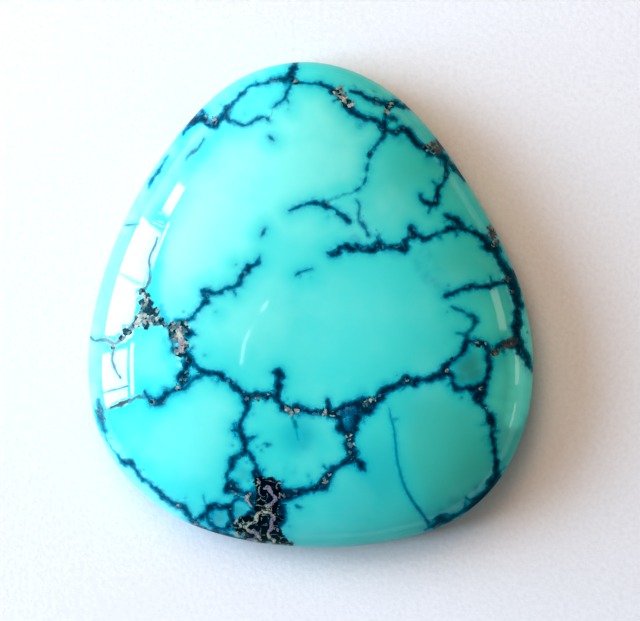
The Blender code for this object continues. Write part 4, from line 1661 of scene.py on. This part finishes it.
def area_light(
    name: str,
    size: tuple[float, float],
    shine: tuple[float, str],
    place: Vector,
    turn: Euler | tuple[float, float, float],
) -> bpy.types.Object:
    """Make a rectangular light that the camera doesn't see.

    Args:
        name: the light's name.
        size: its two sides in millimetres.
        shine: how bright it looks, next to a white sheet at 1, and its colour.
        place: its middle in millimetres.
        turn: its Euler angles; unturned it faces down, with its first side along X.

    Returns:
        The light.
    """
    wide, high = size
    radiance, colour = shine
    data = bpy.data.lights.new(name, "AREA")
    data.shape = "RECTANGLE"
    data.size = wide * MM
    data.size_y = high * MM
    data.energy = radiance * math.pi * wide * high * MM**2
    data.color = linear(colour)[:3]
    light = bpy.data.objects.new(name, data)
    light.location = place * MM
    light.rotation_euler = turn
    light.visible_camera = False
    bpy.context.scene.collection.objects.link(light)
    return light


@dataclass(frozen=True)
class Softbox:
    """A broad soft lamp over one shoulder, so matt that the polish doesn't mirror it."""

    azimuth: float = 110.0
    elevation: float = 52.0
    distance: float = 220.0
    side: float = 120.0
    radiance: float = 4.9
    colour: str = "ffdcc0"

    def build(self) -> None:
        """Make the lamp and turn it to the stone."""
        outward = direction(self.azimuth, self.elevation)
        lamp = area_light("softbox", (self.side, self.side), (self.radiance, self.colour),
                          outward * self.distance, outward.to_track_quat("Z", "Y").to_euler())
        lamp.visible_glossy = False


@dataclass(frozen=True)
class Pane:
    """One pane of the window, from the foot of the window's normal, as parts of its distance."""

    name: str
    left: float
    right: float
    bottom: float
    top: float


@dataclass(frozen=True)
class Window:
    """A tall window standing to one side: upright soft panes between thin bars."""

    name: str = "window"
    azimuth: float = 172.0
    distance: float = 330.0
    radiance: float = 28.5         # how bright a pane looks, next to a white sheet at 1
    colour: str = "bde0ff"
    panes: tuple[Pane, ...] = (
        Pane("upper", -0.352, -0.178, 0.02, 0.77),
        Pane("middle", -0.166, 0.052, 0.02, 0.77),
        Pane("lower", 0.130, 0.435, 0.02, 0.74),
        Pane("wedge", -0.520, -0.415, 0.50, 0.77),
        Pane("side, upper", -0.400, -0.180, 0.80, 0.87),
        Pane("side, lower", 0.100, 0.440, 0.81, 0.90),
    )

    def build(self) -> None:
        """Make each pane an area light that the camera doesn't see, upright and facing the stone."""
        outward = direction(self.azimuth, 0.0)
        along = Vector((outward.y, -outward.x, 0.0))
        for pane in self.panes:
            area_light(
                self.name + "_" + pane.name,
                ((pane.right - pane.left) * self.distance, (pane.top - pane.bottom) * self.distance),
                (self.radiance, self.colour),
                self.distance * (outward - along * (pane.left + pane.right) / 2.0
                                 + Vector((0.0, 0.0, (pane.bottom + pane.top) / 2.0))),
                outward.to_track_quat("Z", "Y").to_euler(),
            )


# Two dim openings on the other side of the room, seen in the stone as short soft streaks.
FAR_OPENINGS = Window("opening", 12.0, 330.0, 2.0, "fff3e4", (
    Pane("high", -0.08, 0.14, 0.29, 0.50),
    Pane("low", -0.33, -0.14, 0.0, 0.15),
    Pane("lower", -0.62, -0.44, 0.0, 0.09),
))


@dataclass(frozen=True)
class Tube:
    """A thin level lamp overhead; its ends and its width are given as parts of its height."""

    name: str
    start: tuple[float, float]
    end: tuple[float, float]
    width: float = 0.0045
    height: float = 1500.0
    radiance: float = 11.0
    colour: str = "ffffff"

    def build(self) -> None:
        """Make the tube an area light that faces down."""
        start, end = (Vector((*place, 1.0)) * self.height for place in (self.start, self.end))
        along = end - start
        area_light(
            "tube_" + self.name, (along.length, self.width * self.height), (self.radiance, self.colour),
            (start + end) / 2.0, (0.0, 0.0, math.atan2(along.y, along.x)),
        )


# They make the two white dashes on the dome.
TUBES = (
    Tube("short", (-0.073, 0.038), (-0.086, 0.021), 0.006),
    Tube("long", (-0.096, -0.007), (-0.1255, -0.08), 0.0042),
)


@dataclass(frozen=True)
class Glow:
    """Soft light from one side of the sky, which falls off as a power of the cosine from its middle."""

    azimuth: float
    elevation: float
    light: float
    power: float
    colour: str = "ffe2cc"


@dataclass(frozen=True)
class Room:
    """The room's light by direction: warm walls, a dim ceiling, a skylight, and glows from two sides.

    The walls' light eases into the ceiling's between two elevations, and it falls off from the
    window's side by a power of the cosine. Two straight edges cut the skylight's glow off.
    """

    walls: str = "ffe6d6"
    ceiling: str = "ffe8d8"
    wall_light: float = 3.6
    wall_power: float = 7.0
    far_wall_light: float = 0.34
    window_side: float = 147.0                         # azimuth of the lightest wall
    ceiling_light: float = 0.25
    wall_top: tuple[float, float] = (6.0, 34.0)
    skylight: Glow = Glow(154.0, 52.0, 3.5, 22.0)
    cool_side: Glow = Glow(252.0, 18.0, 0.5, 7.0, "a2caff")          # daylight thrown back from the side
    warm_side: Glow = Glow(112.0, 50.0, 0.9, 7.0, "ffdcc0")          # lamplight from the ceiling
    glow_foot: float = 33.0                            # elevation of the skylight's lower edge
    foot_ease: tuple[float, float] = (-0.02, 0.04)     # how softly it starts, in sines about that
    glow_side: tuple[float, float, float] = (0.688, 0.630, 0.360)   # the normal of its side edge's plane
    side_ease: tuple[float, float] = (-0.03, 0.03)
    black_level: tuple[float, float, float] = (0.018, 0.005, 0.004)

    def build(self) -> None:
        """Make the world out of the room's light."""
        world = bpy.data.worlds.new("room")
        world.use_nodes = True
        tree = world.node_tree
        towards = add(tree, "TexCoord").outputs["Generated"]
        rise = add(tree, "SeparateXYZ", {}, {0: towards}).outputs["Z"]
        low, high = (math.sin(math.radians(angle)) for angle in self.wall_top)
        levels = []
        near = Glow(self.window_side, 0.0, self.wall_light, self.wall_power)
        for lobe in (near, self.skylight, self.cool_side, self.warm_side):
            close = add(tree, "VectorMath", {"operation": "DOT_PRODUCT"}, {
                0: towards, 1: direction(lobe.azimuth, lobe.elevation)}).outputs["Value"]
            ahead = add(tree, "Math", {"operation": "MAXIMUM"}, {0: close, 1: 0.0}).outputs[0]
            fall = add(tree, "Math", {"operation": "POWER"}, {0: ahead, 1: lobe.power}).outputs[0]
            levels.append(add(tree, "Math", {"operation": "MULTIPLY"}, {
                0: fall, 1: lobe.light}).outputs[0])
        near_wall, glow, cool, warm = levels
        walls = add(tree, "Math", {"operation": "ADD"}, {0: near_wall, 1: self.far_wall_light}).outputs[0]
        overhead = add(tree, "MapRange", {"interpolation_type": "SMOOTHSTEP"}, {
            "Value": rise, "From Min": low, "From Max": high}).outputs[0]
        even = add(tree, "Mix", {}, {0: overhead, 2: walls, 3: self.ceiling_light}).outputs[0]
        tint = add(tree, "Mix", {"data_type": "RGBA"}, {
            0: overhead, COLOUR_A: linear(self.walls), COLOUR_B: linear(self.ceiling)}).outputs[MIXED]
        foot = math.sin(math.radians(self.glow_foot))
        side = add(tree, "VectorMath", {"operation": "DOT_PRODUCT"}, {
            0: towards, 1: self.glow_side}).outputs["Value"]
        for source, edge, (start, full) in ((rise, foot, self.foot_ease), (side, 0.0, self.side_ease)):
            inside = add(tree, "MapRange", {"interpolation_type": "SMOOTHSTEP"}, {
                "Value": source, "From Min": edge + start, "From Max": edge + full}).outputs[0]
            glow = add(tree, "Math", {"operation": "MULTIPLY"}, {0: glow, 1: inside}).outputs[0]
        light = add(tree, "Background", {}, {"Color": tint, "Strength": even}).outputs[0]
        for lobe, strength in ((self.skylight, glow), (self.cool_side, cool), (self.warm_side, warm)):
            shine = add(tree, "Background", {}, {
                "Color": linear(lobe.colour), "Strength": strength}).outputs[0]
            light = add(tree, "AddShader", {}, {0: light, 1: shine}).outputs[0]
        tree.links.new(light, tree.nodes["World Output"].inputs["Surface"])
        bpy.context.scene.world = world
        view = bpy.context.scene.view_settings
        view.view_transform = "Standard"
        view.use_curve_mapping = True
        view.curve_mapping.black_level = self.black_level


@dataclass(frozen=True)
class OverheadCamera:
    """A long lens looking straight down on the stone, with the long side up the frame."""

    height: float = 300.0          # over the girdle's top
    frame_width: float = 43.14     # what the frame takes in at the girdle's level
    aim: tuple[float, float] = (0.64, -0.40)
    sensor: float = 36.0
    clip: tuple[float, float] = (0.01, 10.0)           # metres

    def build(self, girdle: float) -> bpy.types.Object:
        """Make the camera and let the scene look through it.

        Args:
            girdle: the height of the girdle's top, in millimetres.

        Returns:
            The camera.
        """
        data = bpy.data.cameras.new("overhead")
        data.sensor_width = self.sensor
        data.lens = self.sensor * self.height / self.frame_width
        data.clip_start, data.clip_end = self.clip
        camera = bpy.data.objects.new("overhead", data)
        camera.location = Vector((*self.aim, girdle + self.height)) * MM
        bpy.context.scene.collection.objects.link(camera)
        bpy.context.scene.camera = camera
        return camera


def corners(bounds: tuple[Vector, Vector]) -> list[list[float]]:
    """Return a box's lowest and highest corners as plain lists of numbers."""
    return [[float(value) for value in corner] for corner in bounds]


def main() -> None:
    """Build the stone, the tabletop, the lights and the camera."""
    logging.basicConfig(level=logging.INFO, format="%(name)s: %(message)s")
    cut = Cut()
    stone = TurquoiseStone(cut, MatrixWeb(cut), PolishedTurquoise()).build()
    LOG.info("%s: %d vertices, %d faces", stone.name, len(stone.data.vertices), len(stone.data.polygons))
    sheet = Tabletop().build()
    LOG.info("%s: %d faces", sheet.name, len(sheet.data.polygons))
    for source in (Window(), FAR_OPENINGS, *TUBES, Softbox(), Room()):
        source.build()
    camera = OverheadCamera().build(cut.girdle_top)
    LOG.info("%s: a %.0f mm lens", camera.name, camera.data.lens)


if __name__ == "__main__":
    main()
